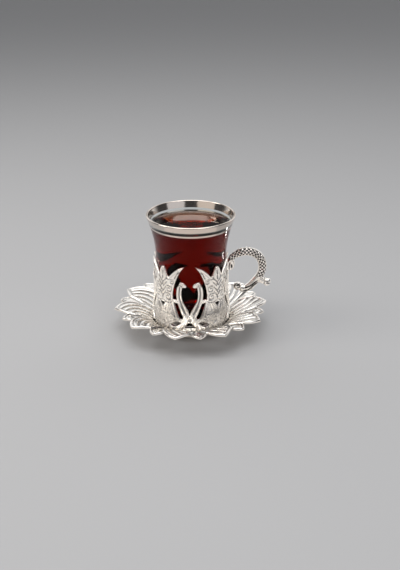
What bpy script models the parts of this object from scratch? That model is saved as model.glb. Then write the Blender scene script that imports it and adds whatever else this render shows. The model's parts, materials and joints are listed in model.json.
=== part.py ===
"""A tea glass in an openwork swan holder, standing on a petal saucer.

The model stands on the ground plane with its axis on Z and the handle towards +X. Angles
round the axis are given in degrees from the front, -Y, counter-clockwise from above, so
that the handle is at 90. Dimensions are in millimetres and become metres as a mesh is made.
"""

import math

import bmesh
import bpy
from mathutils import Matrix, Vector
from mathutils.geometry import delaunay_2d_cdt

MM = 0.001
GAP = 0.3
WELD = 0.005
SMOOTH_ANGLE = math.radians(38.0)
SEGMENTS = 48
GRID_CLEARANCE = 0.55

# Glass
LIP_Z = 85.0
LIP_ROUND = 0.7
LIP_ANGLES = (45.0, 90.0, 135.0)
GLASS_RADIUS = 24.7
FLARE_START_Z = 57.0
FLARE_BELL = 6.0
FLARE_LIP = 0.6
GLASS_WALL = 1.4
GLASS_BASE_Z = 8.2
GLASS_FLOOR_Z = 13.2
GLASS_CORNER = 1.4
GLASS_CORNER_CUT = 0.3
GLASS_FLOOR_CORNER = 2.0
TEA_Z = 77.7

# Saucer, as a dish that rises along a parabola to a crest
PETALS = 10
PETAL_PITCH = 360.0 / PETALS
FLOOR_Z = 1.6
FLOOR_RADIUS = 21.3
CREST_Z = 16.7
CREST_RADIUS = 50.0
DISH_CURVE = (CREST_Z - FLOOR_Z) / (CREST_RADIUS - FLOOR_RADIUS) ** 2
DISH_THICKNESS = 1.2
EDGE_DROP = 0.8
EDGE_DROP_WIDTH = 3.0
RELIEF_FADE_IN = 12.0
RELIEF_FADE_OUT = 6.0
FLOOR_BLEND = 6.0
WELL_STEPS = 4
SMALL_PETAL_RISE = 0.35
LARGE_TIP_ANGLE = -10.85
SLOT_WIDTH = 1.9
SLOT_END_WIDTH = 0.9
SLOT_STEPS = 5
PETAL_GRID = 3.4
PETAL_STEP = 3.2

# Petal outlines as angle and radius, the large petal's angles from its own tip
LARGE_BACK_EDGE = [(-11.85, 47.7), (-8.6, 50.6), (-4.5, 53.2), (0.0, 55.0)]
LARGE_FRONT_EDGE = [(0.0, 55.0), (3.2, 52.9), (7.0, 50.2), (11.28, 47.4)]
SMALL_PETAL_EDGE = [(11.28, 47.4), (13.6, 50.1), (16.2, 51.9), (18.35, 52.45), (20.6, 51.1)]
SMALL_PETAL_EDGE += [(24.15, 47.7)]
SEAM = [(14.85, 21.3), (15.4, 25.0), (16.0, 29.0), (17.5, 35.0), (19.5, 40.0), (21.5, 44.0)]
SEAM += [(24.15, 47.7)]
SMALL_PETAL_VALLEY = [(11.28, 47.4), (13.05, 44.0), (14.1, 40.0), (14.9, 36.0), (15.5, 32.0)]

# Slots of the large petal: first and last radius, then the angle's three terms round SLOT_MID_RADIUS
SLOT_MID_RADIUS = 40.0
SLOT_RADIUS_UNIT = 10.0
SLOTS = [
    (28.5, 50.5, -9.1, 8.4, 2.6),
    (29.0, 47.0, -1.8, 8.2, 3.9),
    (28.5, 43.0, 6.3, 8.3, 4.4),
    (31.0, 38.0, 11.9, 0.75, 0.0),
]

# Holder: eight swans, in facing pairs, on a thin cylinder that flares at the foot
SWANS = 8
HOLDER_INNER = 25.1
HOLDER_THICKNESS = 1.2
HOLDER_RADIUS = HOLDER_INNER + HOLDER_THICKNESS
HALF_PITCH = 2.0 * math.pi * HOLDER_RADIUS / SWANS
FOOT_FLARE = 1.3
FLARE_TOP_Z = 28.0
FLARE_HEIGHT = 16.0
SWAN_BOTTOM_Z = 8.3
TAIL_TOP_Z = 53.5
NECK_CROWN = 0.5
NECK_HALF_WIDTH = 2.1
BODY_LEAF_RISE = 0.5
BODY_LEAF_LEAN = 0.5
BODY_LEAF_TOP_Z = 27.7
BODY_LEAF_FADE = 8.0
BODY_LEAF_SHOULDER = 0.8
HOLDER_GRID = 3.3
CURVE_STEP = 2.6
CREASE_STEP = 3.0
SEAM_STEPS = 9

# Swan outline, as distance round the holder from the pair's centre line, and height
NECK_JOINT = [(0.0, 14.0), (0.0, 19.5)]
NECK_INNER = [(0.0, 19.5), (1.6, 22.0), (3.1, 25.0), (4.6, 28.0), (5.5, 31.0), (5.8, 35.0), (5.0, 40.5)]
BEAK = [(5.0, 40.5), (2.5, 40.9), (2.6, 41.8), (4.6, 42.9), (6.4, 44.2)]
NECK_OUTER = [(6.4, 44.2), (8.4, 41.0), (9.4, 37.0), (9.4, 30.8)]
BRIDGE_TOP = [(9.4, 30.8), (12.2, 30.8)]
WING_INNER = [(12.2, 30.8), (12.2, 35.0), (10.9, 41.5), (8.6, 47.5), (6.3, 52.0), (3.8, 55.3)]
WING_OUTER = [(3.8, 55.3), (8.2, 53.6), (12.2, 50.3), (15.6, 46.6)]
TAIL_LEAF = [(15.6, 46.6), (16.8, 50.2), (18.6, 52.8), (HALF_PITCH, TAIL_TOP_Z)]
SWAN_FOOT = [(17.0, SWAN_BOTTOM_Z), (13.0, SWAN_BOTTOM_Z), (9.0, SWAN_BOTTOM_Z)]
LEG = [(5.2, SWAN_BOTTOM_Z), (3.5, 10.4), (1.3, 14.0), (0.0, 14.0)]
BODY_SLOT_INNER = [(4.9, 17.6), (6.2, 21.0), (7.5, 24.5), (8.9, 27.8)]
BODY_SLOT_OUTER = [(10.9, 28.0), (9.5, 25.0), (8.1, 21.5), (6.7, 17.4)]
ALMOND_TOP = [(6.3, 14.0), (9.4, 13.8), (12.9, 11.6)]
ALMOND_BOTTOM = [(12.9, 11.6), (10.6, 10.9), (8.2, 12.2), (6.3, 14.0)]

# Centre line of the neck and leg, and edge of the leaf on the body, as the outline is given
NECK_LINE = [(7.4, 9.9), (5.4, 12.0), (3.8, 14.0), (2.7, 17.0), (3.0, 20.0), (5.4, 25.0), (7.4, 31.0)]
NECK_LINE += [(7.6, 35.0), (6.8, 40.5)]
BODY_LEAF_EDGE = [(14.6, 9.3), (12.1, 13.0), (10.9, 18.0), (12.4, 22.5), (16.7, 25.4)]
BODY_LEAF_EDGE += [(HALF_PITCH, BODY_LEAF_TOP_Z)]

# Foot of the holder: a ring round the glass, a floor under it and a cone down to the saucer
RING_INNER = 25.1
RING_OUTER = 27.5
RING_TOP_Z = 10.4
RING_GROOVE_Z = 9.1
RING_GROOVE_DEPTH = 0.6
RING_GROOVE_HALF_HEIGHT = 0.4
RING_CHAMFER = 0.3
RING_BOTTOM_Z = 8.1
HOLDER_FLOOR_Z = GLASS_BASE_Z - GAP
HOLDER_FLOOR_THICKNESS = 1.4
HOLDER_FLOOR_INSET = 2.0
CONE_RADIUS = 20.6
CONE_WALL = 1.4
CONE_BOTTOM_Z = FLOOR_Z + GAP

# Handle: centre line as x, z and half width, from its root over the arch to the scroll
HANDLE_SIDES = 12
HANDLE_STEP = 2.4
END_CAP_REACH = 0.5
HANDLE_DEPTH = 2.6
HANDLE_LIMB = [
    (26.7, 49.8, 1.4),
    (30.0, 53.9, 2.3),
    (34.6, 56.5, 2.9),
    (39.8, 57.4, 3.1),
    (45.2, 55.7, 3.1),
    (48.9, 51.9, 3.1),
    (50.3, 47.0, 3.0),
    (50.0, 42.6, 2.7),
    (48.2, 38.4, 2.7),
    (44.9, 34.0, 2.7),
    (41.6, 30.5, 2.4),
    (38.7, 29.0, 2.3),
    (35.6, 29.4, 2.2),
]
KNOB_LIMB = [(48.4, 37.6, 2.1), (51.2, 35.6, 2.0), (53.4, 34.2, 2.7), (54.8, 33.4, 2.6)]
KNOB_DEPTH = 2.5
SCROLL_CENTRE = (33.1, 30.8)
SCROLL_RADIUS = 2.95
SCROLL_DEPTH = 2.9
SCROLL_SEGMENTS = 14
SCROLL_RINGS = 8
LEAF_HEAD = [(28.4, 50.6, 1.6), (28.6, 48.4, 2.4), (28.0, 45.6, 2.3), (27.4, 44.0, 1.3)]
LEAF_HEAD_DEPTH = 2.3
POST_INNER_X = 25.4
POST_OUTER_X = 26.7
POST_HALF_WIDTH = 1.8
POST_TOP_Z = 51.4
POST_TOP_BEVEL = 1.2
POST_TOP_HALF_WIDTH = 1.1
POST_SHOULDER_Z = 25.0
POST_FOOT_Z = 21.6
POST_FOOT_HALF_WIDTH = 0.9


def clear_scene():
    for item in list(bpy.data.objects):
        bpy.data.objects.remove(item, do_unlink=True)


def finish(name, colour, roughness, metallic, transmission=0.0):
    """Makes a plain material from a linear colour and the surface's gloss."""
    material = bpy.data.materials.new(name)
    material.use_nodes = True
    shader = material.node_tree.nodes["Principled BSDF"]
    shader.inputs["Base Color"].default_value = (*colour, 1.0)
    shader.inputs["Roughness"].default_value = roughness
    shader.inputs["Metallic"].default_value = metallic
    shader.inputs["Transmission Weight"].default_value = transmission
    return material


def solid(name, bm, material):
    """Turns a closed bmesh in millimetres into an object in metres."""
    bmesh.ops.remove_doubles(bm, verts=bm.verts, dist=WELD)
    bmesh.ops.triangulate(bm, faces=bm.faces)
    bmesh.ops.recalc_face_normals(bm, faces=bm.faces)
    bmesh.ops.scale(bm, verts=bm.verts, vec=(MM, MM, MM))
    mesh = bpy.data.meshes.new(name)
    bm.to_mesh(mesh)
    bm.free()
    return show(name, mesh, material)


def show(name, mesh, material):
    mesh.name = name
    mesh.shade_smooth()
    mesh.set_sharp_from_angle(angle=SMOOTH_ANGLE)
    mesh.materials.clear()
    mesh.materials.append(material)
    item = bpy.data.objects.new(name, mesh)
    bpy.context.scene.collection.objects.link(item)
    return item


def united(name, pieces, material):
    """Fuses closed pieces that overlap into one solid."""
    body = pieces[0]
    for piece in pieces[1:]:
        union = body.modifiers.new(piece.name, "BOOLEAN")
        union.operation = "UNION"
        union.solver = "EXACT"
        union.object = piece
    view = bpy.context.evaluated_depsgraph_get()
    view.update()
    mesh = bpy.data.meshes.new_from_object(body.evaluated_get(view))
    for piece in pieces:
        bpy.data.objects.remove(piece, do_unlink=True)
    return show(name, mesh, material)


def smooth_step(t):
    t = min(max(t, 0.0), 1.0)
    return t * t * (3.0 - 2.0 * t)


def spline(points, step):
    """Reads points about a step apart from the smooth curve through the given ones."""
    knots = [Vector(p) for p in points]
    knots = [2 * knots[0] - knots[1]] + knots + [2 * knots[-1] - knots[-2]]
    curve = []
    for a, b, c, d in zip(knots, knots[1:], knots[2:], knots[3:]):
        steps = max(1, round((c - b).length / step))
        for i in range(steps):
            t = i / steps
            bend = (2 * a - 5 * b + 4 * c - d) * t * t + (3 * b - a - 3 * c + d) * t ** 3
            curve.append(tuple(0.5 * (2 * b + (c - a) * t + bend)))
    curve.append(tuple(points[-1]))
    return curve


def joined(*curves):
    """Chains curves end to end into one closed loop."""
    loop = []
    for curve in curves:
        for point in curve:
            if not loop or math.dist(point, loop[-1]) > WELD:
                loop.append(tuple(point))
    if math.dist(loop[0], loop[-1]) <= WELD:
        loop.pop()
    return loop


def encloses(loop, point):
    """Tells whether a point is inside a closed loop."""
    x, y = point
    inside = False
    for (ax, ay), (bx, by) in zip(loop, loop[1:] + loop[:1]):
        if (ay > y) != (by > y) and x < ax + (y - ay) * (bx - ax) / (by - ay):
            inside = not inside
    return inside


def on_metal(point, outline, holes):
    return encloses(outline, point) and not any(encloses(hole, point) for hole in holes)


def inner_points(outline, holes, spacing, creases):
    """A staggered grid of points on the metal, clear of its edges and creases."""
    edges = [p for loop in [outline, creases] + holes for p in loop]
    left, right = min(p[0] for p in outline), max(p[0] for p in outline)
    low, high = min(p[1] for p in outline), max(p[1] for p in outline)
    row_height = spacing * math.sqrt(3.0) / 2.0
    found = []
    for row in range(int((high - low) / row_height) + 1):
        y = low + (row + 0.5) * row_height
        for column in range(int((right - left) / spacing) + 1):
            x = left + (column + 0.5 * (row % 2)) * spacing
            clear = min(math.dist((x, y), p) for p in edges) > GRID_CLEARANCE * spacing
            if clear and on_metal((x, y), outline, holes):
                found.append((x, y))
    return found


def triangulated(outline, holes, spacing, creases=()):
    """Splits a flat outline with holes into triangles, with grid points inside."""
    points = []
    edges = []
    for loop in [outline] + holes:
        start = len(points)
        points += loop
        edges += [(start + i, start + (i + 1) % len(loop)) for i in range(len(loop))]
    creases = [p for p in creases if on_metal(p, outline, holes)]
    points += creases + inner_points(outline, holes, spacing, creases)
    flat, _, faces, _, _, _ = delaunay_2d_cdt([Vector(p) for p in points], edges, [], 1, 1e-4)
    flat = [tuple(p) for p in flat]
    triangles = []
    for face in faces:
        middle = [sum(flat[i][axis] for i in face) / 3.0 for axis in (0, 1)]
        if on_metal(middle, outline, holes):
            triangles.append(tuple(face))
    return flat, triangles


def open_edges(triangles):
    """Finds the edges that only one triangle uses, in that triangle's direction."""
    sides = {(t[i], t[(i + 1) % 3]) for t in triangles for i in range(3)}
    return [side for side in sides if (side[1], side[0]) not in sides]


def add_cast_sheet(bm, flat, triangles, seams, front, back):
    """Adds a sheet's two faces and its edge walls, but no walls along its seams."""
    fronts = [bm.verts.new(front(*p)) for p in flat]
    backs = [bm.verts.new(back(*p)) for p in flat]
    for a, b, c in triangles:
        bm.faces.new((fronts[a], fronts[b], fronts[c]))
        bm.faces.new((backs[c], backs[b], backs[a]))
    for a, b in open_edges(triangles):
        if not any(seam(flat[a]) and seam(flat[b]) for seam in seams):
            bm.faces.new((fronts[b], fronts[a], backs[a], backs[b]))


def turned(name, profile, material, segments=SEGMENTS):
    """Turns a closed profile of radius and height round the axis."""
    bm = bmesh.new()
    rings = []
    for radius, height in profile:
        if radius == 0.0:
            rings.append([bm.verts.new((0.0, 0.0, height))] * segments)
            continue
        turns = [2.0 * math.pi * i / segments for i in range(segments)]
        rings.append([bm.verts.new((radius * math.cos(a), radius * math.sin(a), height)) for a in turns])
    for ring, following in zip(rings, rings[1:] + rings[:1]):
        for i in range(segments):
            j = (i + 1) % segments
            corners = list(dict.fromkeys((ring[i], ring[j], following[j], following[i])))
            if len(corners) > 2:
                bm.faces.new(corners)
    return solid(name, bm, material)


def swept(name, line, depth, material):
    """Sweeps an oval along a line of x, z and half width, in the handle's plane."""
    bm = bmesh.new()
    line = spline(line, HANDLE_STEP)
    rings = []
    for i, (x, z, half_width) in enumerate(line):
        before, after = line[max(i - 1, 0)], line[min(i + 1, len(line) - 1)]
        along = Vector((after[0] - before[0], after[1] - before[1])).normalized()
        ring = []
        for side in range(HANDLE_SIDES):
            turn = 2.0 * math.pi * side / HANDLE_SIDES
            across = half_width * math.cos(turn)
            ring.append(bm.verts.new((x - along.y * across, depth * math.sin(turn), z + along.x * across)))
        rings.append(ring)
    for ring, following in zip(rings, rings[1:]):
        for i in range(HANDLE_SIDES):
            j = (i + 1) % HANDLE_SIDES
            bm.faces.new((ring[i], ring[j], following[j], following[i]))
    for end, beyond in ((0, 1), (-1, -2)):
        x, z, half_width = line[end]
        outward = Vector((x - line[beyond][0], z - line[beyond][1])).normalized()
        outward *= END_CAP_REACH * half_width
        pole = bm.verts.new((x + outward.x, 0.0, z + outward.y))
        for i in range(HANDLE_SIDES):
            bm.faces.new((rings[end][i], rings[end][(i + 1) % HANDLE_SIDES], pole))
    return solid(name, bm, material)


def glass_outer(z):
    """Radius of the glass outside: a cylinder that opens into a bell and a lip."""
    rise = max(z - FLARE_START_Z, 0.0) / (LIP_Z - FLARE_START_Z)
    return GLASS_RADIUS + FLARE_BELL * rise ** 1.5 + FLARE_LIP * rise ** 6


def wall_heights(top, steps=5):
    """Heights up the flare where the wall's profile has a point."""
    return [FLARE_START_Z + (top - FLARE_START_Z) * i / steps for i in range(steps + 1)]


def make_glass(material):
    lip_low = LIP_Z - LIP_ROUND
    outer = [(0.0, GLASS_BASE_Z), (GLASS_RADIUS - GLASS_CORNER, GLASS_BASE_Z)]
    cut = GLASS_CORNER_CUT * GLASS_CORNER
    outer += [(GLASS_RADIUS - cut, GLASS_BASE_Z + cut)]
    outer += [(GLASS_RADIUS, GLASS_BASE_Z + GLASS_CORNER)]
    outer += [(glass_outer(z), z) for z in wall_heights(lip_low)]
    middle = glass_outer(lip_low) - LIP_ROUND
    turns = [math.radians(angle) for angle in LIP_ANGLES]
    lip = [(middle + LIP_ROUND * math.cos(a), lip_low + LIP_ROUND * math.sin(a)) for a in turns]
    inner = [(glass_outer(z) - GLASS_WALL, z) for z in reversed(wall_heights(lip_low))]
    bore = GLASS_RADIUS - GLASS_WALL
    inner += [(bore, GLASS_FLOOR_Z + GLASS_FLOOR_CORNER)]
    inner += [(bore - GLASS_FLOOR_CORNER, GLASS_FLOOR_Z), (0.0, GLASS_FLOOR_Z)]
    return turned("glass", outer + lip + inner, material)


def make_tea(material):
    bore = GLASS_RADIUS - GLASS_WALL - GAP
    floor = GLASS_FLOOR_Z + GAP
    profile = [(0.0, floor), (bore - GLASS_FLOOR_CORNER, floor), (bore, floor + GLASS_FLOOR_CORNER)]
    profile += [(glass_outer(z) - GLASS_WALL - GAP, z) for z in wall_heights(TEA_Z)]
    profile += [(0.0, TEA_Z)]
    return turned("tea", profile, material)


def plan(angle, radius):
    """Places an angle from the large petal's tip and a radius on the saucer's plan."""
    turn = math.radians(angle + LARGE_TIP_ANGLE)
    return radius * math.sin(turn), -radius * math.cos(turn)


def petal_angle(x, y):
    """The angle of a plan point from the nearest large petal's seam, within one pitch."""
    angle = math.degrees(math.atan2(x, -y)) - LARGE_TIP_ANGLE
    return angle % PETAL_PITCH


def along_edge(edge, radius):
    """Angle at a radius on an edge that is given as angle and radius."""
    rising = sorted(edge, key=lambda p: p[1])
    for (a0, r0), (a1, r1) in zip(rising, rising[1:]):
        if r0 <= radius <= r1:
            return a0 + (a1 - a0) * (radius - r0) / (r1 - r0)
    return rising[0][0] if radius < rising[0][1] else rising[-1][0]


def petal_relief(x, y):
    """How far the surface lies under the dish: edges droop, and the small petal is lower."""
    radius = math.hypot(x, y)
    if radius <= SMALL_PETAL_VALLEY[-1][1]:
        return 0.0
    angle = petal_angle(x, y)
    valley = along_edge(SMALL_PETAL_VALLEY, radius)
    seam = along_edge(SEAM, radius)
    depth = EDGE_DROP * smooth_step((radius - SMALL_PETAL_VALLEY[-1][1]) / RELIEF_FADE_IN)
    if radius > SEAM[-1][1]:
        depth *= 1.0 - smooth_step((radius - SEAM[-1][1]) / RELIEF_FADE_OUT)
    if valley < angle < seam:
        across = (angle - valley) / (seam - valley)
        return depth * (1.0 - SMALL_PETAL_RISE * math.sin(math.pi * across))
    nearest = min(abs(angle - valley), abs(angle - seam), abs(angle + PETAL_PITCH - seam))
    return depth * (1.0 - smooth_step(math.radians(nearest) * radius / EDGE_DROP_WIDTH))


def dish(radius):
    """Height of the saucer's upper face, without the petals' relief."""
    if radius <= FLOOR_RADIUS:
        return FLOOR_Z
    return CREST_Z - DISH_CURVE * (CREST_RADIUS - radius) ** 2


def slot_loop(first, last, base, slope, curve):
    """Outline of a curved slot that narrows a little to both ends."""
    sides = ([], [])
    for i in range(SLOT_STEPS + 1):
        share = i / SLOT_STEPS
        radius = first + (last - first) * share
        reach = (radius - SLOT_MID_RADIUS) / SLOT_RADIUS_UNIT
        angle = base + slope * reach + curve * reach * reach
        width = SLOT_WIDTH if 0.0 < share < 1.0 else SLOT_END_WIDTH
        half = math.degrees(0.5 * width / radius)
        sides[0].append(plan(angle + half, radius))
        sides[1].append(plan(angle - half, radius))
    return sides[0] + sides[1][::-1]


def make_saucer(material):
    edge = joined(
        [plan(*p) for p in spline(LARGE_BACK_EDGE, PETAL_STEP)],
        [plan(*p) for p in spline(LARGE_FRONT_EDGE, PETAL_STEP)],
        [plan(*p) for p in spline(SMALL_PETAL_EDGE, PETAL_STEP)],
    )[::-1]
    seam = [plan(*p) for p in SEAM]
    other_seam = [plan(a - PETAL_PITCH, r) for a, r in SEAM]
    well = [plan(SEAM[0][0] - PETAL_PITCH * i / WELL_STEPS, FLOOR_RADIUS) for i in range(WELL_STEPS + 1)]
    well = well[::-1]
    outline = joined(well, seam, edge, other_seam[::-1])
    holes = [slot_loop(*slot) for slot in SLOTS]
    valley = [plan(*p) for p in SMALL_PETAL_VALLEY[1:]]
    flat, triangles = triangulated(outline, holes, PETAL_GRID, valley)

    def near(points):
        return lambda p: any(math.dist(p, q) < 10 * WELD for q in points)

    bm = bmesh.new()
    for petal in range(PETALS):
        turn = math.radians(PETAL_PITCH * petal)

        def place(x, y, z, turn=turn):
            return (x * math.cos(turn) - y * math.sin(turn), x * math.sin(turn) + y * math.cos(turn), z)

        def upper(x, y):
            return place(x, y, dish(math.hypot(x, y)) - petal_relief(x, y))

        def lower(x, y):
            radius = math.hypot(x, y)
            towards_floor = 1.0 - smooth_step((radius - FLOOR_RADIUS) / FLOOR_BLEND)
            thickness = DISH_THICKNESS + (FLOOR_Z - DISH_THICKNESS) * towards_floor
            return place(x, y, dish(radius) - thickness - petal_relief(x, y))

        add_cast_sheet(bm, flat, triangles, [near(seam), near(other_seam), near(well)], upper, lower)
        for height in (FLOOR_Z, 0.0):
            middle = bm.verts.new((0.0, 0.0, height))
            arc = [bm.verts.new(place(x, y, height)) for x, y in well]
            for a, b in zip(arc, arc[1:]):
                bm.faces.new((middle, a, b))
    return solid("saucer", bm, material)


def foot_flare(z):
    return FOOT_FLARE * smooth_step((FLARE_TOP_Z - z) / FLARE_HEIGHT)


def across_edge(edge, z):
    """Distance round the holder at a height on an edge that is given from its foot up."""
    for (u0, z0), (u1, z1) in zip(edge, edge[1:]):
        if z0 <= z <= z1:
            return u0 + (u1 - u0) * (z - z0) / (z1 - z0)
    return edge[0][0] if z < edge[0][1] else edge[-1][0]


def swan_relief(u, z):
    """How far the casting stands proud: the neck is crowned and a leaf lies on the body."""
    neck = NECK_CROWN * max(0.0, 1.0 - abs(u - across_edge(NECK_LINE, z)) / NECK_HALF_WIDTH)
    leaf_edge = across_edge(BODY_LEAF_EDGE, z)
    leaf = 0.0
    if z < BODY_LEAF_TOP_Z and u >= leaf_edge - WELD:
        share = (u - leaf_edge) / (HALF_PITCH - leaf_edge)
        leaf = BODY_LEAF_RISE
        leaf += BODY_LEAF_LEAN * share * smooth_step((BODY_LEAF_TOP_Z - z) / BODY_LEAF_FADE)
    return max(neck, leaf)


def make_holder(material):
    seam_height = TAIL_TOP_Z - SWAN_BOTTOM_Z
    outline = joined(
        NECK_JOINT,
        *(spline(edge, CURVE_STEP) for edge in (NECK_INNER, BEAK, NECK_OUTER, BRIDGE_TOP, WING_INNER)),
        *(spline(edge, CURVE_STEP) for edge in (WING_OUTER, TAIL_LEAF)),
        [(HALF_PITCH, TAIL_TOP_Z - seam_height * i / SEAM_STEPS) for i in range(SEAM_STEPS + 1)],
        SWAN_FOOT,
        LEG,
    )
    holes = [
        joined(spline(BODY_SLOT_INNER, CURVE_STEP), spline(BODY_SLOT_OUTER, CURVE_STEP)),
        joined(spline(ALMOND_TOP, CURVE_STEP), spline(ALMOND_BOTTOM, CURVE_STEP)),
    ]
    leaf_edge = spline(BODY_LEAF_EDGE, CREASE_STEP)
    leaf_foot = [(u - BODY_LEAF_SHOULDER, z) for u, z in leaf_edge]
    creases = spline(NECK_LINE, CREASE_STEP) + leaf_edge[:-1] + leaf_foot
    flat, triangles = triangulated(outline, holes, HOLDER_GRID, creases)
    seams = [lambda p: p[0] < WELD, lambda p: p[0] > HALF_PITCH - WELD]

    bm = bmesh.new()
    for swan in range(SWANS):
        mirror = 1.0 if swan % 2 == 0 else -1.0
        centre = 2.0 * math.pi * ((swan + 1) // 2) / (SWANS / 2)

        def place(u, z, radius, mirror=mirror, centre=centre):
            turn = centre + mirror * u / HOLDER_RADIUS
            return (radius * math.sin(turn), -radius * math.cos(turn), z)

        def outer(u, z):
            return place(u, z, HOLDER_RADIUS + foot_flare(z) + swan_relief(u, z))

        def inner(u, z):
            return place(u, z, HOLDER_INNER + foot_flare(z))

        add_cast_sheet(bm, flat, triangles, seams, outer, inner)
    cylinder = solid("holder_openwork", bm, material)

    floor_low = HOLDER_FLOOR_Z - HOLDER_FLOOR_THICKNESS
    foot = turned(
        "holder_foot",
        [
            (RING_INNER, RING_TOP_Z),
            (RING_OUTER - RING_CHAMFER, RING_TOP_Z),
            (RING_OUTER, RING_TOP_Z - RING_CHAMFER),
            (RING_OUTER, RING_GROOVE_Z + RING_GROOVE_HALF_HEIGHT),
            (RING_OUTER - RING_GROOVE_DEPTH, RING_GROOVE_Z),
            (RING_OUTER, RING_GROOVE_Z - RING_GROOVE_HALF_HEIGHT),
            (RING_OUTER, RING_BOTTOM_Z),
            (CONE_RADIUS, CONE_BOTTOM_Z),
            (CONE_RADIUS - CONE_WALL, CONE_BOTTOM_Z),
            (RING_OUTER - CONE_WALL - HOLDER_FLOOR_INSET, floor_low),
            (0.0, floor_low),
            (0.0, HOLDER_FLOOR_Z),
            (RING_INNER, HOLDER_FLOOR_Z),
        ],
        material,
    )
    return united("holder", [cylinder, foot], material)


def make_post(material):
    """The bar between the facing necks that carries the handle, narrowed at its foot."""
    sides = [
        (POST_FOOT_HALF_WIDTH, POST_FOOT_Z),
        (POST_HALF_WIDTH, POST_SHOULDER_Z),
        (POST_HALF_WIDTH, POST_TOP_Z - POST_TOP_BEVEL),
        (POST_TOP_HALF_WIDTH, POST_TOP_Z),
    ]
    outline = sides + [(-y, z) for y, z in reversed(sides)]
    bm = bmesh.new()
    faces = []
    for x in (POST_INNER_X, POST_OUTER_X):
        faces.append([bm.verts.new((x, y, z)) for y, z in outline])
    bm.faces.new(faces[0])
    bm.faces.new(faces[1])
    for i in range(len(outline)):
        j = (i + 1) % len(outline)
        bm.faces.new((faces[0][i], faces[0][j], faces[1][j], faces[1][i]))
    return solid("handle_post", bm, material)


def make_scroll(material):
    """The rolled end of the handle's lower limb, a fat disc across the handle."""
    bm = bmesh.new()
    bmesh.ops.create_uvsphere(bm, u_segments=SCROLL_SEGMENTS, v_segments=SCROLL_RINGS, radius=1.0)
    bmesh.ops.rotate(bm, verts=bm.verts, matrix=Matrix.Rotation(math.radians(90.0), 3, "X"))
    bmesh.ops.scale(bm, verts=bm.verts, vec=(SCROLL_RADIUS, SCROLL_DEPTH, SCROLL_RADIUS))
    bmesh.ops.translate(bm, verts=bm.verts, vec=(SCROLL_CENTRE[0], 0.0, SCROLL_CENTRE[1]))
    return solid("handle_scroll", bm, material)


def make_handle(material):
    return united(
        "handle",
        [
            swept("handle_limb", HANDLE_LIMB, HANDLE_DEPTH, material),
            swept("handle_knob", KNOB_LIMB, KNOB_DEPTH, material),
            swept("handle_leaf", LEAF_HEAD, LEAF_HEAD_DEPTH, material),
            make_scroll(material),
            make_post(material),
        ],
        material,
    )


def main():
    clear_scene()
    silver = finish("silver plate", (0.83, 0.80, 0.76), 0.16, 1.0)
    clear_glass = finish("clear glass", (0.95, 0.96, 0.95), 0.02, 0.0, 0.9)
    tea = finish("black tea", (0.12, 0.008, 0.003), 0.03, 0.0)
    make_saucer(silver)
    make_holder(silver)
    make_handle(silver)
    make_glass(clear_glass)
    make_tea(tea)


main()
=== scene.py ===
import json
import math

import bpy
import numpy as np
from bpy.props import FloatProperty, FloatVectorProperty, IntProperty, PointerProperty
from bpy.types import Operator, Panel, PropertyGroup
from mathutils import Euler, Matrix, Vector
from mathutils.geometry import delaunay_2d_cdt

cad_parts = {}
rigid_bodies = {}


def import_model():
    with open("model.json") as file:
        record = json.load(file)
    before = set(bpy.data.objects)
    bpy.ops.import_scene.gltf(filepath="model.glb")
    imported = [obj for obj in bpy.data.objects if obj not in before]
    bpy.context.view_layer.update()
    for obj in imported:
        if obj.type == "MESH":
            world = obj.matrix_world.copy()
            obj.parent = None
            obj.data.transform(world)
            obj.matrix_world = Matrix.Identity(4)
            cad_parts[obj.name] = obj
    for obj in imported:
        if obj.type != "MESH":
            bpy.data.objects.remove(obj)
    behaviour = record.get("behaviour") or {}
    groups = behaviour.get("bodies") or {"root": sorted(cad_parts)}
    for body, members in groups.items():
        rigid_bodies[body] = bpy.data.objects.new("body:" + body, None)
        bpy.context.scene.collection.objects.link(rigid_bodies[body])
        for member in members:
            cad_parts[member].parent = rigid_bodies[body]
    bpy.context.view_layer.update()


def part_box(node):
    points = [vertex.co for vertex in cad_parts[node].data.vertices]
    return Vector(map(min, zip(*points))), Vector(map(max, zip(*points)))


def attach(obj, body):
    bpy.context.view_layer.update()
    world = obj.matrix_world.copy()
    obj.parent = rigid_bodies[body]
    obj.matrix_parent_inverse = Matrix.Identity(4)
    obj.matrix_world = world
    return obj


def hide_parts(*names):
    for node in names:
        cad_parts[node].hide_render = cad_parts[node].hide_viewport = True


# Tea glass in an openwork swan holder on a pierced petal saucer.
# Outlines are in millimetres and become metres as a mesh is made. Angles round the axis are in
# degrees from the front, -Y, counter-clockwise from above, and the handle is at 90.

bl_info = {
    "name": "Tea Glass in a Swan Holder",
    "version": (1, 0, 0),
    "blender": (4, 5, 0),
    "location": "3D View > Sidebar > Tea Glass",
    "description": "A glass of black tea in a silver-plated openwork holder on a petal saucer",
    "category": "Add Mesh",
}

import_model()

MM = 0.001
WELD = 0.005
SMOOTH_ANGLE = math.radians(40.0)
LINE_STEP = 0.6
FINE_LINE_STEP = 0.4
LONG_LINE_STEP = 0.8

# Castings' meshes, in shares of their spacing: rows of points that follow the edges, how far the
# grid stays off the edges and the seams, and how much coarser the back is than the face
EDGE_ROWS = (0.34, 0.95)
ROW_CLEAR = 0.9
GRID_MARGIN = 1.45
SEAM_MARGIN = 0.5
SWAN_BACK = 5.0
PETAL_BACK = 4.0

# Heights that come from the frame
LIP_Z = round(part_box("glass")[1].z / MM, 2)
GLASS_BASE_Z = round(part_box("glass")[0].z / MM, 2)
TEA_Z = round(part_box("tea")[1].z / MM, 2)

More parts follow.
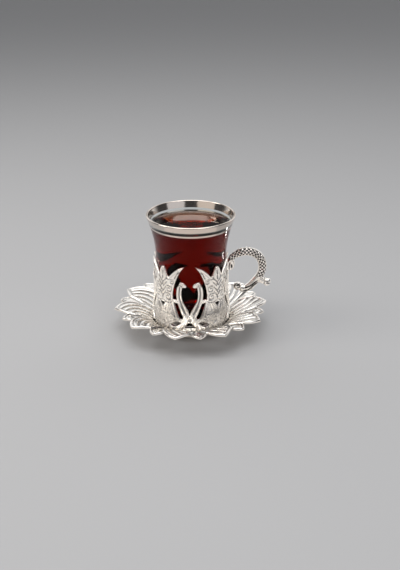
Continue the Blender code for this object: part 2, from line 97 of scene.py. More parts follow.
# Glass, a cylinder that opens into a bell and a lip
GLASS_RADIUS = 24.7
GLASS_WALL = 1.4
GLASS_CORNER = 1.4
GLASS_FLOOR_Z = 13.2
GLASS_FLOOR_CORNER = 2.0
WALL_START = 3.0
FLARE_START_Z = 57.0
FLARE_BELL = 6.0
FLARE_LIP = 0.6
LIP_ROUND = 0.7
LIP_ARC = (15.0, 165.0, 8)
COATING_LIFT = 0.012
MENISCUS_WIDTH = 2.2
CALM_RADIUS = 12.0

# Holder: eight swans in facing pairs on a thin cylinder that flares at the foot
SWANS = 8
HOLDER_INNER = 25.1
HOLDER_RADIUS = 26.3
HALF_PITCH = 2.0 * math.pi * HOLDER_RADIUS / SWANS
PAST_PITCH = HALF_PITCH + 2.0
SWAN_TURN = math.radians(-1.5)
UNPOLISHED = 0.3
FOOT_FLARE = (28.0, -16.0, 1.3)
SWAN_BOTTOM_Z = 8.3
TAIL_TOP_Z = 53.5

# Swan outline, as distance round the holder from the pair's centre line, and height
NECK_JOINT = [(0.0, 14.0), (0.0, 19.5)]
NECK_INNER = [(0.0, 19.5), (0.7, 21.8), (1.3, 23.4), (2.9, 26.2), (4.8, 30.0), (5.6, 33.0)]
NECK_INNER += [(5.7, 36.0), (5.1, 40.2)]
BEAK = [(5.1, 40.2), (3.6, 40.3), (2.5, 40.7), (2.2, 41.6), (3.0, 42.8), (4.6, 43.7), (6.5, 44.3)]
NECK_OUTER = [(6.5, 44.3), (8.4, 41.0), (9.4, 37.0), (9.4, 30.8)]
BRIDGE_TOP = [(9.4, 30.8), (12.2, 30.8)]
WING_INNER = [(12.2, 30.8), (12.2, 35.0), (10.9, 41.5), (8.6, 47.5), (6.3, 52.0), (3.8, 55.3)]
WING_OUTER = [(3.8, 55.3), (8.2, 53.6), (12.2, 50.3), (15.6, 46.6)]
TAIL_LEAF = [(15.6, 46.6), (16.9, 47.8), (17.6, 49.5), (18.5, 51.5), (19.5, 53.0)]
TAIL_LEAF += [(HALF_PITCH, TAIL_TOP_Z)]
SWAN_FOOT = [(HALF_PITCH, SWAN_BOTTOM_Z), (5.2, SWAN_BOTTOM_Z)]
LEG = [(5.2, SWAN_BOTTOM_Z), (3.5, 10.4), (1.3, 14.0), (0.0, 14.0)]
BODY_SLOT = (
    [(4.5, 18.6), (5.9, 21.4), (7.3, 24.8), (8.6, 28.0)],
    [(8.6, 28.0), (11.4, 28.5)],
    [(11.4, 28.5), (10.2, 25.0), (8.8, 21.5), (7.4, 18.2)],
    [(7.4, 18.2), (6.7, 17.2), (5.7, 16.9), (4.8, 17.4), (4.5, 18.6)],
)
ALMOND = (
    [(6.0, 14.3), (9.4, 14.5), (13.2, 12.1)],
    [(13.2, 12.1), (12.6, 11.1), (10.6, 10.7), (8.2, 12.0), (6.0, 14.3)],
)

# Lines that part the swan's face into neck, wing and body
NECK_LINE = [(7.4, 9.9), (5.4, 12.0), (3.8, 14.0), (2.5, 17.0), (2.4, 20.0), (4.1, 24.3), (5.6, 27.4)]
NECK_LINE += [(6.9, 31.0), (7.4, 35.0), (6.9, 40.3)]
WING_FOOT = [(11.9, 30.4), (13.6, 28.9), (15.6, 28.2), (17.8, 28.4), (HALF_PITCH, 29.6)]
WING_REST = [(PAST_PITCH, 60.0), (0.0, 60.0), (0.0, 30.4)]
WING_NOTCH = [(PAST_PITCH, 27.4), (18.5, 27.2), (19.5, 25.4), (HALF_PITCH, 23.8), (PAST_PITCH, 23.8)]
WING_NOTCH += [(PAST_PITCH, 27.4)]
BODY_FRONT = [(12.0, 29.4), (11.2, 26.4), (9.9, 22.8), (8.6, 19.4), (8.0, 17.0), (8.8, 15.5)]
BODY_FRONT += [(10.8, 15.0), (13.2, 14.2), (15.0, 13.2)]
BODY_REST = [(PAST_PITCH, SWAN_BOTTOM_Z), (PAST_PITCH, 29.6)]

# Relief on the swans. A ridge or groove has its distance from a line, its half width and its
# height or depth. A slope has its start, its span and its height.
NECK_HALF = 2.6
NECK_CROWN = (0.0, 2.5, 0.46)
NECK_RIM = (1.35, 1.0, 0.5)
NECK_CHANNEL = (0.0, 0.85)
CHANNEL_START = (19.0, 5.0)
CHANNEL_END = (41.5, -1.5)
NECK_FADE = (1.9, 0.7)
WING_GROUND = 0.26
WING_SWELL = (1.0, 3.4, 0.3)
WING_BORDER = (0.6, 0.8, 0.16)
WING_GROOVE = (1.5, 0.5)
WING_GROOVE_DEPTH = 0.12
BODY_GROUND = 0.14
BODY_SWELL = (0.0, 5.0, 0.3)
BODY_BORDER = (0.6, 0.9, 0.2)
BODY_GROOVE = (1.7, 0.5)
BODY_GROOVE_START = (15.5, 2.0)
BODY_GROOVE_DEPTH = 0.16
STEP_GROOVE = (0.35, 0.7)
STEP_GROOVE_DEPTH = 0.14
LEG_GROUND = (8.0, 3.0, 0.12)
NOTCH_SIDE = (0.0, 0.5)
NOTCH_DEPTH = 0.7

# Painted shade and patina in the swans' recesses, from 0 to 1, and the depth of a cut that is fully
# dark
CHANNEL_DARK = 0.85
WING_DARK = 0.25
BODY_DARK = 0.4
STEP_DARK = 0.35
# Darker towards the foot: from a height down over a span, up to a share
LOW_DARK = (28.0, -8.0, 0.4)
NOTCH_DARK = (0.0, 0.5)
FULLY_DARK = 0.85

# Straight strokes on a swan: half width, height, and the ends of each
SWAN_STROKES = {
    "wing tip cuts": (0.85, -0.36, (((10.6, 47.0), (9.4, 48.9)), ((8.9, 50.2), (7.7, 51.6)))),
    "chevrons": (0.75, -0.46, (
        ((19.6, 33.4), (18.2, 35.4)),
        ((19.7, 36.6), (17.6, 39.2)),
        ((19.7, 39.9), (17.0, 42.8)),
        ((19.7, 43.2), (16.9, 46.2)),
    )),
    "tail feathers": (0.8, 0.3, (
        ((13.4, 27.8), (14.6, 22.6)),
        ((15.6, 27.6), (17.3, 22.0)),
        ((17.8, 27.4), (19.4, 22.8)),
    )),
    "feather gaps": (0.45, -0.3, (((14.5, 26.8), (15.8, 22.8)), ((16.7, 26.4), (18.2, 22.6)))),
    "foot cut": (0.45, -0.4, (((16.6, 12.2), (18.8, 14.0)),)),
    "eye": (0.5, -0.3, (((4.7, 42.3), (5.0, 42.4)),)),
    "cheek": (0.5, -0.34, (((7.3, 40.2), (6.4, 41.1), (6.1, 42.4)),)),
    "joint pit": (0.8, -0.6, (((0.0, 16.4), (0.7, 16.4)),)),
}
SEAM_PITS = (0.95, -0.75, ((31.4, 32.6), (35.2, 36.0), (41.0, 42.4), (45.0, 46.6), (48.6, 50.2)))
FAN_ROOT = (16.0, 8.4)
FAN = (0.8, 0.2, ((13.6, 12.8), (15.5, 13.9), (17.3, 13.8), (19.0, 13.0), (HALF_PITCH, 11.8)))

# Spiral strokes: half width, height, inner share, and centre, radius, start and turns of each
SWAN_WHORLS = (0.75, -0.3, 0.3, (
    ((16.0, 32.3), 2.7, 60.0, 1.2),
    ((15.2, 38.1), 2.6, 60.0, 1.2),
    ((12.7, 43.7), 1.8, 60.0, 1.2),
))
SWAN_CURLS = (0.95, 0.13, 0.4, (
    ((12.6, 18.4), 2.0, 200.0, 0.8),
    ((15.8, 18.4), 1.8, 300.0, 0.8),
    ((18.8, 18.2), 1.9, 280.0, -0.8),
))

# Foot of the holder. Its bore is what lies within a radius and over a height, and is painted dark as
# shade.
RING_INNER = 25.1
RING_OUTER = 27.5
RING_TOP_Z = 10.4
RING_EDGE = 0.35
RING_GROOVE_Z = 9.1
RING_GROOVE_HALF = 0.45
RING_GROOVE_DEPTH = 0.6
RING_BOTTOM_Z = 8.1
RING_BORE = (25.15, 2.9)
HOLDER_FLOOR_Z = 7.9
HOLDER_FLOOR_THICKNESS = 1.4
CONE_RADIUS = 20.6
CONE_WALL = 1.4
CONE_BOW = 0.8
CONE_SHOULDER = 2.0
CONE_BOTTOM_Z = 1.9

# Handle, in its plane: centre lines as x, z and half width
HANDLE_DEPTH = 2.6
HANDLE_LIMB = [(26.7, 49.8, 1.4), (30.0, 53.8, 2.2), (34.6, 56.3, 2.8), (39.8, 57.1, 2.9)]
HANDLE_LIMB += [(45.2, 55.5, 3.0), (48.9, 51.8, 3.0), (50.3, 47.0, 2.9), (50.0, 42.6, 2.7)]
HANDLE_LIMB += [(48.2, 38.4, 2.7), (44.9, 34.0, 2.8), (41.6, 30.4, 2.8), (38.7, 28.8, 2.7)]
HANDLE_LIMB += [(35.6, 29.1, 2.4)]
KNOB_LIMB = [(47.6, 36.6, 2.3), (50.6, 35.1, 2.1), (52.6, 34.4, 2.3), (54.0, 33.9, 2.9)]
KNOB_LIMB += [(55.0, 33.6, 2.7)]
KNOB_DEPTH = 2.5
LEAF_HEAD = [(28.4, 50.6, 1.6), (28.6, 48.4, 2.4), (28.0, 45.6, 2.3), (27.4, 44.0, 1.3)]
LEAF_HEAD_DEPTH = 2.3
CAP_ANGLES = (75.0, 60.0, 45.0, 30.0, 15.0)
CAP_LENGTH = 0.5
BEAD_ROW = [(46.2, 37.2), (48.6, 37.4), (51.2, 36.9), (53.0, 35.9)]
BEAD_RADIUS = 0.5
BEAD_PITCH = 1.15
BEAD_SINK = 0.25
SCROLL_CENTRE = (33.1, 30.8)
SCROLL_RADIUS = 2.95
SCROLL_DEPTH = 2.9
SCROLL_FULLNESS = 0.75
SCROLL_COIL = ((33.1, 31.1), 2.5, 200.0, -0.85, 0.35)
SCROLL_COIL_CUT = (0.5, -0.55)
SCROLL_EYE = ((32.9, 31.9), (33.4, 32.3))
SCROLL_EYE_CUT = (0.85, -1.0)
POST_INNER_X = 25.4
POST_OUTER_X = 26.7
POST_BEVEL = 0.35
POST_SIDE = [(0.9, 21.6), (1.8, 25.0), (1.8, 50.2), (1.1, 51.4)]

# Relief on the handle. The real studs are about 0.9 mm wide, and are drawn wider so that they
# still show.
ARCH_HALF = 2.9
ARCH_START = (0.8, 1.5)
ARCH_END = (41.5, -1.5)
STUD_SIZE = 1.3
STUD_HEIGHT = 0.26
STUD_EDGE = 0.15
STUD_STEEPNESS = 3.0
# Painted shade and patina in the sunken checks between the studs: the darkness where they meet the
# studs, and how fast it deepens
STUD_GAP_DARK = (0.3, 1.5)
STUD_LOW = -2.1
STUD_HIGH = STUD_LOW + 4 * STUD_SIZE
OUTER_GROOVE = (STUD_HIGH + 0.35, 0.4)
INNER_GROOVE = (STUD_LOW - 0.3, 0.35, 0.6)
ARCH_GROOVE_DEPTH = 0.34
# Painted shade and patina: a cut this deep on the handle or on the scroll is fully dark
HANDLE_FULLY_DARK = 0.6
SCROLL_FULLY_DARK = 0.55

# Where the cuts begin as the metal turns from its edge to the side that faces out
FLUTE_FACING = (0.1, 0.3)
LEAF_FACING = (0.0, 0.4)
SCROLL_FACING = (0.15, 0.3)

# Strokes on the handle: line, half width and height
LIMB_FLUTES = (
    ([(38.6, 30.2), (40.5, 31.0), (42.9, 32.3), (46.3, 35.0), (50.6, 36.6)], 0.75, -0.85),
    ([(37.6, 27.9), (40.0, 28.2), (42.4, 29.8), (45.2, 32.6), (49.2, 34.5)], 0.75, -0.85),
    ([(34.5, 27.6), (37.4, 26.9), (40.1, 27.2)], 0.45, -0.4),
)
LEAF_CUTS = (
    ([(28.6, 45.9), (28.5, 47.4)], 0.85, -0.8),
    ([(30.2, 45.0), (30.5, 47.4), (30.0, 49.6)], 0.35, -0.25),
    ([(26.9, 43.9), (26.9, 46.0)], 0.35, -0.25),
)
KNOB_CUTS = (
    ([(53.6, 33.9), (57.4, 33.1)], 0.6, -0.5),
    ([(52.2, 36.8), (51.6, 33.0)], 0.5, -0.3),
)

# Saucer, a dish that rises along a parabola to a crest, in ten pairs of petals
PETALS = 10
PETAL_PITCH = 360.0 / PETALS
FLOOR_Z = 1.6
FLOOR_RADIUS = 21.3
CREST_Z = 16.7
CREST_RADIUS = 50.0
DISH_CURVE = (CREST_Z - FLOOR_Z) / (CREST_RADIUS - FLOOR_RADIUS) ** 2
DISH_THICKNESS = 1.2
THINNING = 6.0
RELIEF_START = (FLOOR_RADIUS, 2.0)
LARGE_TIP_ANGLE = -10.85
LARGE_BACK_EDGE = [(-11.85, 47.7), (-8.6, 50.6), (-4.5, 53.2), (0.0, 55.0)]
LARGE_FRONT_EDGE = [(0.0, 55.0), (3.2, 52.9), (7.0, 50.2), (11.28, 47.4)]
SMALL_PETAL_EDGE = [(11.28, 47.4), (13.6, 50.1), (16.2, 51.9), (18.35, 52.45), (20.6, 51.1)]
SMALL_PETAL_EDGE += [(24.15, 47.7)]
SEAM = [(14.85, 21.3), (15.4, 25.0), (16.0, 29.0), (17.5, 35.0), (19.5, 40.0), (21.5, 44.0)]
SEAM += [(24.15, 47.7)]
SMALL_PETAL_VALLEY = [(11.28, 47.4), (13.05, 44.0), (14.1, 40.0), (14.9, 36.0), (15.5, 32.0)]
SMALL_PETAL_FAR = [(11.28, 60.0), (17.7, 60.0), (24.15, 60.0)]

# Slots: first and last radius, then angle at the middle radius, slope and curve for each unit
SLOT_MID_RADIUS = 40.0
SLOT_RADIUS_UNIT = 10.0
SLOTS = [(28.5, 50.5, -9.1, 8.4, 2.6), (29.0, 47.0, -1.8, 8.2, 3.9), (28.5, 43.0, 6.3, 8.3, 4.4)]
SLOTS += [(31.0, 38.0, 11.9, 0.75, 0.0)]
SLOT_WIDTH = 1.9
SLOT_END_WIDTH = 0.9
SLOT_TAPER = 0.2

# Relief on the petals, given as on the swans. It grows from the well outwards.
PETAL_GROWTH = (31.0, 8.0)
RIB_GROWTH = (24.5, 3.0)
PETAL_BORDER = (0.95, 1.2, 0.4)
PETAL_TRENCH = (2.3, 0.5)
PETAL_TRENCH_DEPTH = 0.3
PETAL_FIELD = (2.3, 0.7)
RIB_START = 0.5
RIB_SPAN = 1.7
RIB_HEIGHT = 0.55
RIB_SINK = 0.45
RIB_GROOVE = (0.0, 1.0)
RIB_PAST_SLOT = (3.5, 4.0, 53.0)
SEAM_DEPTH = 0.2
LARGE_SEAM = (0.4, -0.4)
SMALL_SEAM = (0.5, -0.5)
SMALL_DROP = 1.0
SMALL_SIDE = (2.4, 1.6, 0.3)
# Painted shade and patina on the small petals' walls
SMALL_WALL_DARK = (0.5, 0.6, 0.8)
SMALL_TIP_START = (42.5, 2.0)
SMALL_TIP_BORDER = (0.7, 0.9, 0.4)
SMALL_TIP_GROOVE = (1.7, 0.4)
SMALL_TIP_DEPTH = 0.25
# Painted shade and patina in the trenches and the rib grooves, and how strongly it shows
TRENCH_DARK = 0.7
RIB_DARK = 0.75
PETAL_SHADE_AND_PATINA = 1.15

# Punched dots in rows up the small petals, and raised beads near their tips
TIP_BEADS = [(15.7, 48.3), (17.9, 49.0), (20.1, 48.2), (17.9, 46.7)]
BEADS_START = 45.0
BEAD_HEIGHT = 0.34
DOT_DEPTH = 0.26
# Painted shade and patina in the punched dots
DOT_DARK = 0.8
DOT_HALF = 0.55
DOT_SIDE = (0.9, 0.5)
DOT_PITCH = 1.35
DOT_ROWS = (33.0, 43.5, 1.3)
DOT_LINE = (16.3, 0.05, 1.3)

# The photograph's camera, worked out from the petal tips
CAMERA_PLACE = (0.00635, -0.54382, 0.26818)
CAMERA_TILT = 66.459
CAMERA_LENS = 52.53
CAMERA_SENSOR = 36.0

# Softboxes: name, place and size in metres, colour, and the stage's name for the power
SOFTBOXES = (
    ("left_panel", (-0.95, -0.95, 0.62), (1.3, 0.7), "#fff6ee", "front"),
    ("right_panel", (0.95, -0.95, 0.62), (1.3, 0.7), "#f6f8ff", "front"),
    ("key_softbox", (-0.85, -0.1, 0.75), (0.35, 0.5), "#fffaf4", "key"),
    ("top_softbox", (0.0, -0.15, 1.1), (1.3, 1.2), "#ffffff", "top"),
)

# Flat lights on the floor: name, finish that each lights, azimuth from the back and clockwise from
# above, nearest and farthest reach and width in metres, colour, and the stage's name for the power
TABLE_CARDS = (
    ("light_table", "silver plate", 0.0, (-0.35, 0.35), 0.7, "#fff6ed", "card"),
    ("right_strip", "glass", 58.0, (0.075, 0.4), 0.008, "#ffffff", "strip"),
    ("front_card", "lustre", 180.0, (0.02, 0.17), 0.19, "#ffe6da", "front_card"),
)
CARD_HEIGHT = 0.0005

# Half the width of the paper, in metres
PAPER_HALF = 4.0

# Light of the room by where it comes from: dark in front, pale behind, with one grey patch that
# the drink's surface mirrors
ROOM_DARK = "#3c3c3e"
ROOM_PALE = "#f4f5f7"
ROOM_GREY = "#6e6c6a"
PALE_BEHIND = (0.15, 0.7)
GREY_BEHIND = (0.88, 0.93)
GREY_LEVEL = 0.335
GREY_HALF = 0.1

# Sizes of the finishes' marks in millimetres. Real polishing grain is far finer, and is drawn
# coarser so that it shows.
BUFFED_CLOUD = 7.0
POLISHING_GRAIN = 0.6
LUSTRE_STREAK = (16.5, 0.42)
WALL_WAVE = 18.0
TEA_RIPPLE = 25.0
PAPER_FIBRE = 1.1

# Depth of the marks on metal and on clear bodies, in millimetres
METAL_MARKS = 0.1
CLEAR_MARKS = 1.0

# How strongly the marks show as relief
GRAIN_RELIEF = 0.12
STREAK_RELIEF = 0.04
WAVE_RELIEF = 0.05
RIPPLE_RELIEF = 0.04

# How the finishes answer light: refractive indices, and shares of gloss and roughness
GLASS_INDEX = 1.52
TEA_INDEX = 1.33
GLASS_GLOSS = 0.08
TEA_GLOSS = 0.5
WETTED_GLOSS = 0.1
BUFFED_SPREAD = (-0.04, 0.05)
RECESS_ROUGHER = 0.22
LUSTRE_ROUGH = (0.07, 0.2)
PAPER_ROUGH = 0.8
PAPER_FIBRE_SHADE = 0.97


def linear(hex_colour):
    """Turns an sRGB hex colour into linear red, green and blue."""
    parts = [int(hex_colour[i:i + 2], 16) / 255.0 for i in (1, 3, 5)]
    return tuple(c / 12.92 if c <= 0.04045 else ((c + 0.055) / 1.055) ** 2.4 for c in parts)


def ramp(value, start, span, height=1.0):
    """Rises smoothly from 0 at its start to its height a span on; a negative span runs back."""
    share = np.clip((value - start) / span, 0.0, 1.0)
    return height * share * share * (3.0 - 2.0 * share)


def ridge(value, middle, half_width, height=1.0):
    """A round ridge that is highest at its middle and ends a half width off."""
    return height * (1.0 - np.clip(np.abs((value - middle) / half_width), 0.0, 1.0) ** 2) ** 2


def spline(points, step):
    """Reads points about a step apart from the smooth curve through the given ones."""
    given = np.asarray(points, float)
    knots = np.vstack((2 * given[0] - given[1], given, 2 * given[-1] - given[-2]))
    curve = []
    for a, b, c, d in zip(knots, knots[1:], knots[2:], knots[3:]):
        steps = max(1, round(np.linalg.norm(c - b) / step))
        t = np.arange(steps)[:, None] / steps
        bend = (2 * a - 5 * b + 4 * c - d) * t * t + (3 * b - a - 3 * c + d) * t ** 3
        curve.append(0.5 * (2 * b + (c - a) * t + bend))
    return np.vstack(curve + [given[-1:]])


def straight(points, step):
    """Reads points about a step apart from the straight stretches between the given ones."""
    given = np.asarray(points, float)
    curve = []
    for a, b in zip(given, given[1:]):
        steps = max(1, round(np.linalg.norm(b - a) / step))
        curve.append(a + (b - a) * np.arange(steps)[:, None] / steps)
    return np.vstack(curve + [given[-1:]])


def joined(*curves):
    """Chains curves end to end into one closed loop."""
    loop = [curves[0][0]]
    for curve in curves:
        loop += [p for p in curve if np.linalg.norm(p - loop[-1]) > WELD]
    if np.linalg.norm(loop[0] - loop[-1]) <= WELD:
        loop.pop()
    return np.array(loop)


def inside(loop, points):
    """Tells which points a closed loop encloses."""
    x, y = points.T
    found = np.zeros(len(points), bool)
    for (ax, ay), (bx, by) in zip(loop, np.roll(loop, -1, axis=0)):
        if ay != by:
            crosses = (ay > y) != (by > y)
            found ^= crosses & (x < ax + (y - ay) * (bx - ax) / (by - ay))
    return found


def distance(line, points):
    """How far each point is from a line of straight stretches."""
    line = np.asarray(line, float)
    best = np.full(len(points), np.inf)
    for start, end in zip(line, line[1:]):
        way = end - start
        share = np.clip(((points - start) @ way) / max(way @ way, 1e-12), 0.0, 1.0)
        best = np.minimum(best, np.linalg.norm(points - start - share[:, None] * way, axis=1))
    return best


def nearest(lines, points):
    """How far each point is from the nearest of several lines."""
    return np.minimum.reduce([distance(line, points) for line in lines])


def spiral(centre, radius, start, turns, inner):
    """A scroll line that winds in to a share of its radius; negative turns wind clockwise."""
    share = np.linspace(0.0, 1.0, 26)
    angle = math.radians(start) + 2.0 * math.pi * turns * share
    reach = radius * (1.0 - (1.0 - inner) * share)
    return np.column_stack((centre[0] + reach * np.cos(angle), centre[1] + reach * np.sin(angle)))


def carved(points, strokes):
    """Raised and sunken heights of the strokes, each a line, a half width and a height."""
    raised = np.zeros(len(points))
    sunken = np.zeros(len(points))
    for line, half_width, height in strokes:
        bump = ridge(distance(line, points), 0.0, half_width, height)
        raised = np.maximum(raised, bump)
        sunken = np.minimum(sunken, bump)
    return raised, sunken


class Sheet:
    """A flat outline with holes, split into triangles, finely on its face and coarsely behind."""

    def __init__(self, outline, holes, seams, spacing, coarse):
        self.loops = [outline] + holes
        self.seams = seams
        self.edges = [np.vstack((loop, loop[:1])) for loop in self.loops]
        rows = self.rows([share * spacing for share in EDGE_ROWS])
        self.face, self.face_triangles = self.split(spacing, rows)
        self.back, self.back_triangles = self.split(coarse, np.empty((0, 2)))

    def on_metal(self, points):
        """Tells which points lie within the outline and outside the holes."""
        found = inside(self.loops[0], points)
        for hole in self.loops[1:]:
            found &= ~inside(hole, points)
        return found

    def on_seam(self, points):
        """Tells which points lie where the next copy joins on."""
        found = np.zeros(len(points), bool)
        for seam in self.seams:
            found |= distance(seam, points) < WELD
        return found

    def from_edge(self, points):
        """Distance to the nearest real edge, not counting the seams with the next copy."""
        best = np.full(len(points), np.inf)
        for edge in self.edges:
            marks = self.on_seam(edge)
            for i in range(len(edge) - 1):
                if not (marks[i] and marks[i + 1]):
                    best = np.minimum(best, distance(edge[i:i + 2], points))
        return best

    def rows(self, offsets):
        """Rows of points that follow each edge a little way in, for a round arris."""
        found = []
        for loop in self.loops:
            along = np.roll(loop, -1, axis=0) - np.roll(loop, 1, axis=0)
            across = np.column_stack((-along[:, 1], along[:, 0]))
            across /= np.linalg.norm(across, axis=1)[:, None]
            free = ~self.on_seam(loop)
            for offset in offsets:
                for side in (1.0, -1.0):
                    row = (loop + side * offset * across)[free]
                    row = row[self.on_metal(row)]
                    found.append(row[self.from_edge(row) > ROW_CLEAR * offset])
        return np.vstack(found)

    def split(self, spacing, rows):
        """Triangles over the loops, the rows and a staggered grid of points between them."""
        low, high = self.loops[0].min(axis=0), self.loops[0].max(axis=0)
        row_height = spacing * math.sqrt(3.0) / 2.0
        grid = []
        for row in range(int((high[1] - low[1]) / row_height) + 1):
            x = np.arange(low[0] + 0.5 * spacing * (row % 2), high[0], spacing)
            grid.append(np.column_stack((x, np.full(len(x), low[1] + (row + 0.5) * row_height))))
        grid = np.vstack(grid)
        grid = grid[self.on_metal(grid)]
        margin = GRID_MARGIN if len(rows) else SEAM_MARGIN
        clear = self.from_edge(grid) > margin * spacing
        clear &= nearest(self.seams, grid) > SEAM_MARGIN * spacing
        points = np.vstack(self.loops + [rows, grid[clear]])
        sides = []
        start = 0
        for loop in self.loops:
            count = len(loop)
            sides += [(start + i, start + (i + 1) % count) for i in range(count)]
            start += count
        flat, _, faces, _, _, _ = delaunay_2d_cdt([Vector(p) for p in points], sides, [], 1, 1e-5)
        flat = np.array([tuple(p) for p in flat])
        faces = np.array([tuple(face) for face in faces])
        return flat, faces[self.on_metal(flat[faces].mean(axis=1))]

    def walls(self):
        """Quads between the face's and the back's free edges, as indices into face then back."""
        used = {(t[i], t[(i + 1) % 3]) for t in self.face_triangles.tolist() for i in range(3)}
        behind = {tuple(np.round(p, 3)): i for i, p in enumerate(self.back.tolist())}
        partner = {}
        marks = self.on_seam(self.face)
        found = []
        for a, b in used:
            if (b, a) in used or (marks[a] and marks[b]):
                continue
            for i in (a, b):
                partner[i] = len(self.face) + behind[tuple(np.round(self.face[i].tolist(), 3))]
            found.append((b, a, partner[a], partner[b]))
        return found

    def cast(self, face_place, back_place):
        """Points in space and faces of the sheet as a casting."""
        points = np.vstack((face_place(self.face), back_place(self.back)))
        faces = [tuple(t) for t in self.face_triangles.tolist()]
        faces += [tuple(len(self.face) + i for i in t[::-1]) for t in self.back_triangles.tolist()]
        return points, faces + self.walls()


def arris(depth, radius):
    """How far a rounded edge falls away, by the distance in from that edge."""
    share = np.clip(depth / radius, 0.0, 1.0)
    return radius * (1.0 - np.sqrt(1.0 - (1.0 - share) ** 2))


def mesh_of(name, points, faces, mark="recess", values=None):
    """A mesh in metres from points in millimetres, with one value for each point.

    The value marks how far a point lies in a recess, or that tea wets it.
    """
    mesh = bpy.data.meshes.new(name)
    mesh.from_pydata((np.asarray(points) * MM).tolist(), [], faces)
    values = np.zeros(len(points)) if values is None else np.asarray(values)
    mesh.attributes.new(mark, "FLOAT", "POINT").data.foreach_set("value", values.astype(np.float32))
    mesh.update()
    return mesh


def volume(mesh):
    """Signed volume, positive where the faces point out."""
    mesh.calc_loop_triangles()
    points = np.empty(len(mesh.vertices) * 3)
    mesh.vertices.foreach_get("co", points)
    corners = np.empty(len(mesh.loop_triangles) * 3, int)
    mesh.loop_triangles.foreach_get("vertices", corners)
    a, b, c = points.reshape(-1, 3)[corners.reshape(-1, 3)].transpose(1, 0, 2)
    return float((np.cross(a, b) * c).sum())


def finished(name, mesh, material):
    """Shows a mesh as a piece with its faces out, smooth but for its sharp corners."""
    if volume(mesh) < 0.0:
        mesh.flip_normals()
    mesh.shade_smooth()
    mesh.set_sharp_from_angle(angle=SMOOTH_ANGLE)
    mesh.materials.clear()
    mesh.materials.append(material)
    mesh.name = name
    item = bpy.data.objects.new(name, mesh)
    bpy.context.scene.collection.objects.link(item)
    return item


def settled(item):
    """The object's mesh with its modifiers applied, which are then taken off."""
    view = bpy.context.evaluated_depsgraph_get()
    view.update()
    mesh = bpy.data.meshes.new_from_object(item.evaluated_get(view))
    item.modifiers.clear()
    return mesh


def fused(name, meshes, material):
    """Joins closed meshes that overlap into one solid surface."""
    pieces = [finished(f"{name}_{i}", mesh, material) for i, mesh in enumerate(meshes)]
    for piece in pieces[1:]:
        union = pieces[0].modifiers.new(piece.name, "BOOLEAN")
        union.operation = "UNION"
        union.solver = "MANIFOLD"
        union.object = piece
    mesh = settled(pieces[0])
    for piece in pieces:
        bpy.data.objects.remove(piece, do_unlink=True)
    return finished(name, mesh, material)


def carried(piece, node=None):
    """Lets a piece ride on the part and stand for its solid."""
    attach(piece, "root")
    if node:
        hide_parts(node)


def add_node(tree, kind, inputs=(), **settings):
    """Adds a node with its settings; an input is a value or another node's output."""
    node = tree.nodes.new(kind)
    for name, value in settings.items():
        setattr(node, name, value)
    for socket, value in dict(inputs).items():
        if isinstance(value, bpy.types.NodeSocket):
            tree.links.new(value, node.inputs[socket])
        else:
            node.inputs[socket].default_value = value
    return node


def ring_tree():
    """Geometry Nodes that repeat a casting round the axis and weld the copies together."""
    tree = bpy.data.node_groups.new("ring of castings", "GeometryNodeTree")
    sockets = {"Casting": "Geometry", "Copies": "Int", "Weld Distance": "Float", "Metal": "Material"}
    for name, kind in sockets.items():
        tree.interface.new_socket(name, in_out="INPUT", socket_type=f"NodeSocket{kind}")
    tree.interface.new_socket("Ring", in_out="OUTPUT", socket_type="NodeSocketGeometry")
    casting, copies, weld, metal = add_node(tree, "NodeGroupInput").outputs[:4]
    points = add_node(tree, "GeometryNodePoints", {"Count": copies})
    index = add_node(tree, "GeometryNodeInputIndex")
    step = add_node(tree, "ShaderNodeMath", {0: 2.0 * math.pi, 1: copies}, operation="DIVIDE")
    turn = {0: index.outputs[0], 1: step.outputs[0]}
    turn = add_node(tree, "ShaderNodeMath", turn, operation="MULTIPLY")
    angles = add_node(tree, "ShaderNodeCombineXYZ", {"Z": turn.outputs[0]})
    rotation = add_node(tree, "FunctionNodeEulerToRotation", {0: angles.outputs[0]})
    ring = {"Points": points.outputs[0], "Instance": casting, "Rotation": rotation.outputs[0]}
    ring = add_node(tree, "GeometryNodeInstanceOnPoints", ring)
    ring = add_node(tree, "GeometryNodeRealizeInstances", {0: ring.outputs[0]})
    ring = {"Geometry": ring.outputs[0], "Distance": weld}
    ring = add_node(tree, "GeometryNodeMergeByDistance", ring)
    ring = {"Geometry": ring.outputs[0], "Material": metal}
    ring = add_node(tree, "GeometryNodeSetMaterial", ring)
    add_node(tree, "NodeGroupOutput", {0: ring.outputs[0]})
    return tree


def ringed(mesh, copies, material):
    """The mesh repeated round the axis, as one plain mesh."""
    item = bpy.data.objects.new(mesh.name, mesh)
    bpy.context.scene.collection.objects.link(item)
    tree = bpy.data.node_groups.get("ring of castings") or ring_tree()
    ring = item.modifiers.new("ring", "NODES")
    ring.node_group = tree
    values = {"Copies": copies, "Weld Distance": 2.0 * WELD * MM, "Metal": material}
    for socket in tree.interface.items_tree:
        if socket.name in values:
            ring[socket.identifier] = values[socket.name]
    made = settled(item)
    bpy.data.objects.remove(item, do_unlink=True)
    return made


def skinned(rings, closed=False):
    """Points of a row of rings and the faces from each to the next; a ring of one point is a pole."""
    sides = max(len(ring) for ring in rings)
    numbers = []
    start = 0
    for ring in rings:
        numbers.append([start + i % len(ring) for i in range(sides)])
        start += len(ring)
    faces = []
    for ring, following in zip(numbers, numbers[1:] + (numbers[:1] if closed else [])):
        for i in range(sides):
            j = (i + 1) % sides
            corners = tuple(dict.fromkeys((ring[i], ring[j], following[j], following[i])))
            if len(corners) > 2:
                faces.append(corners)
    return np.vstack(rings), faces


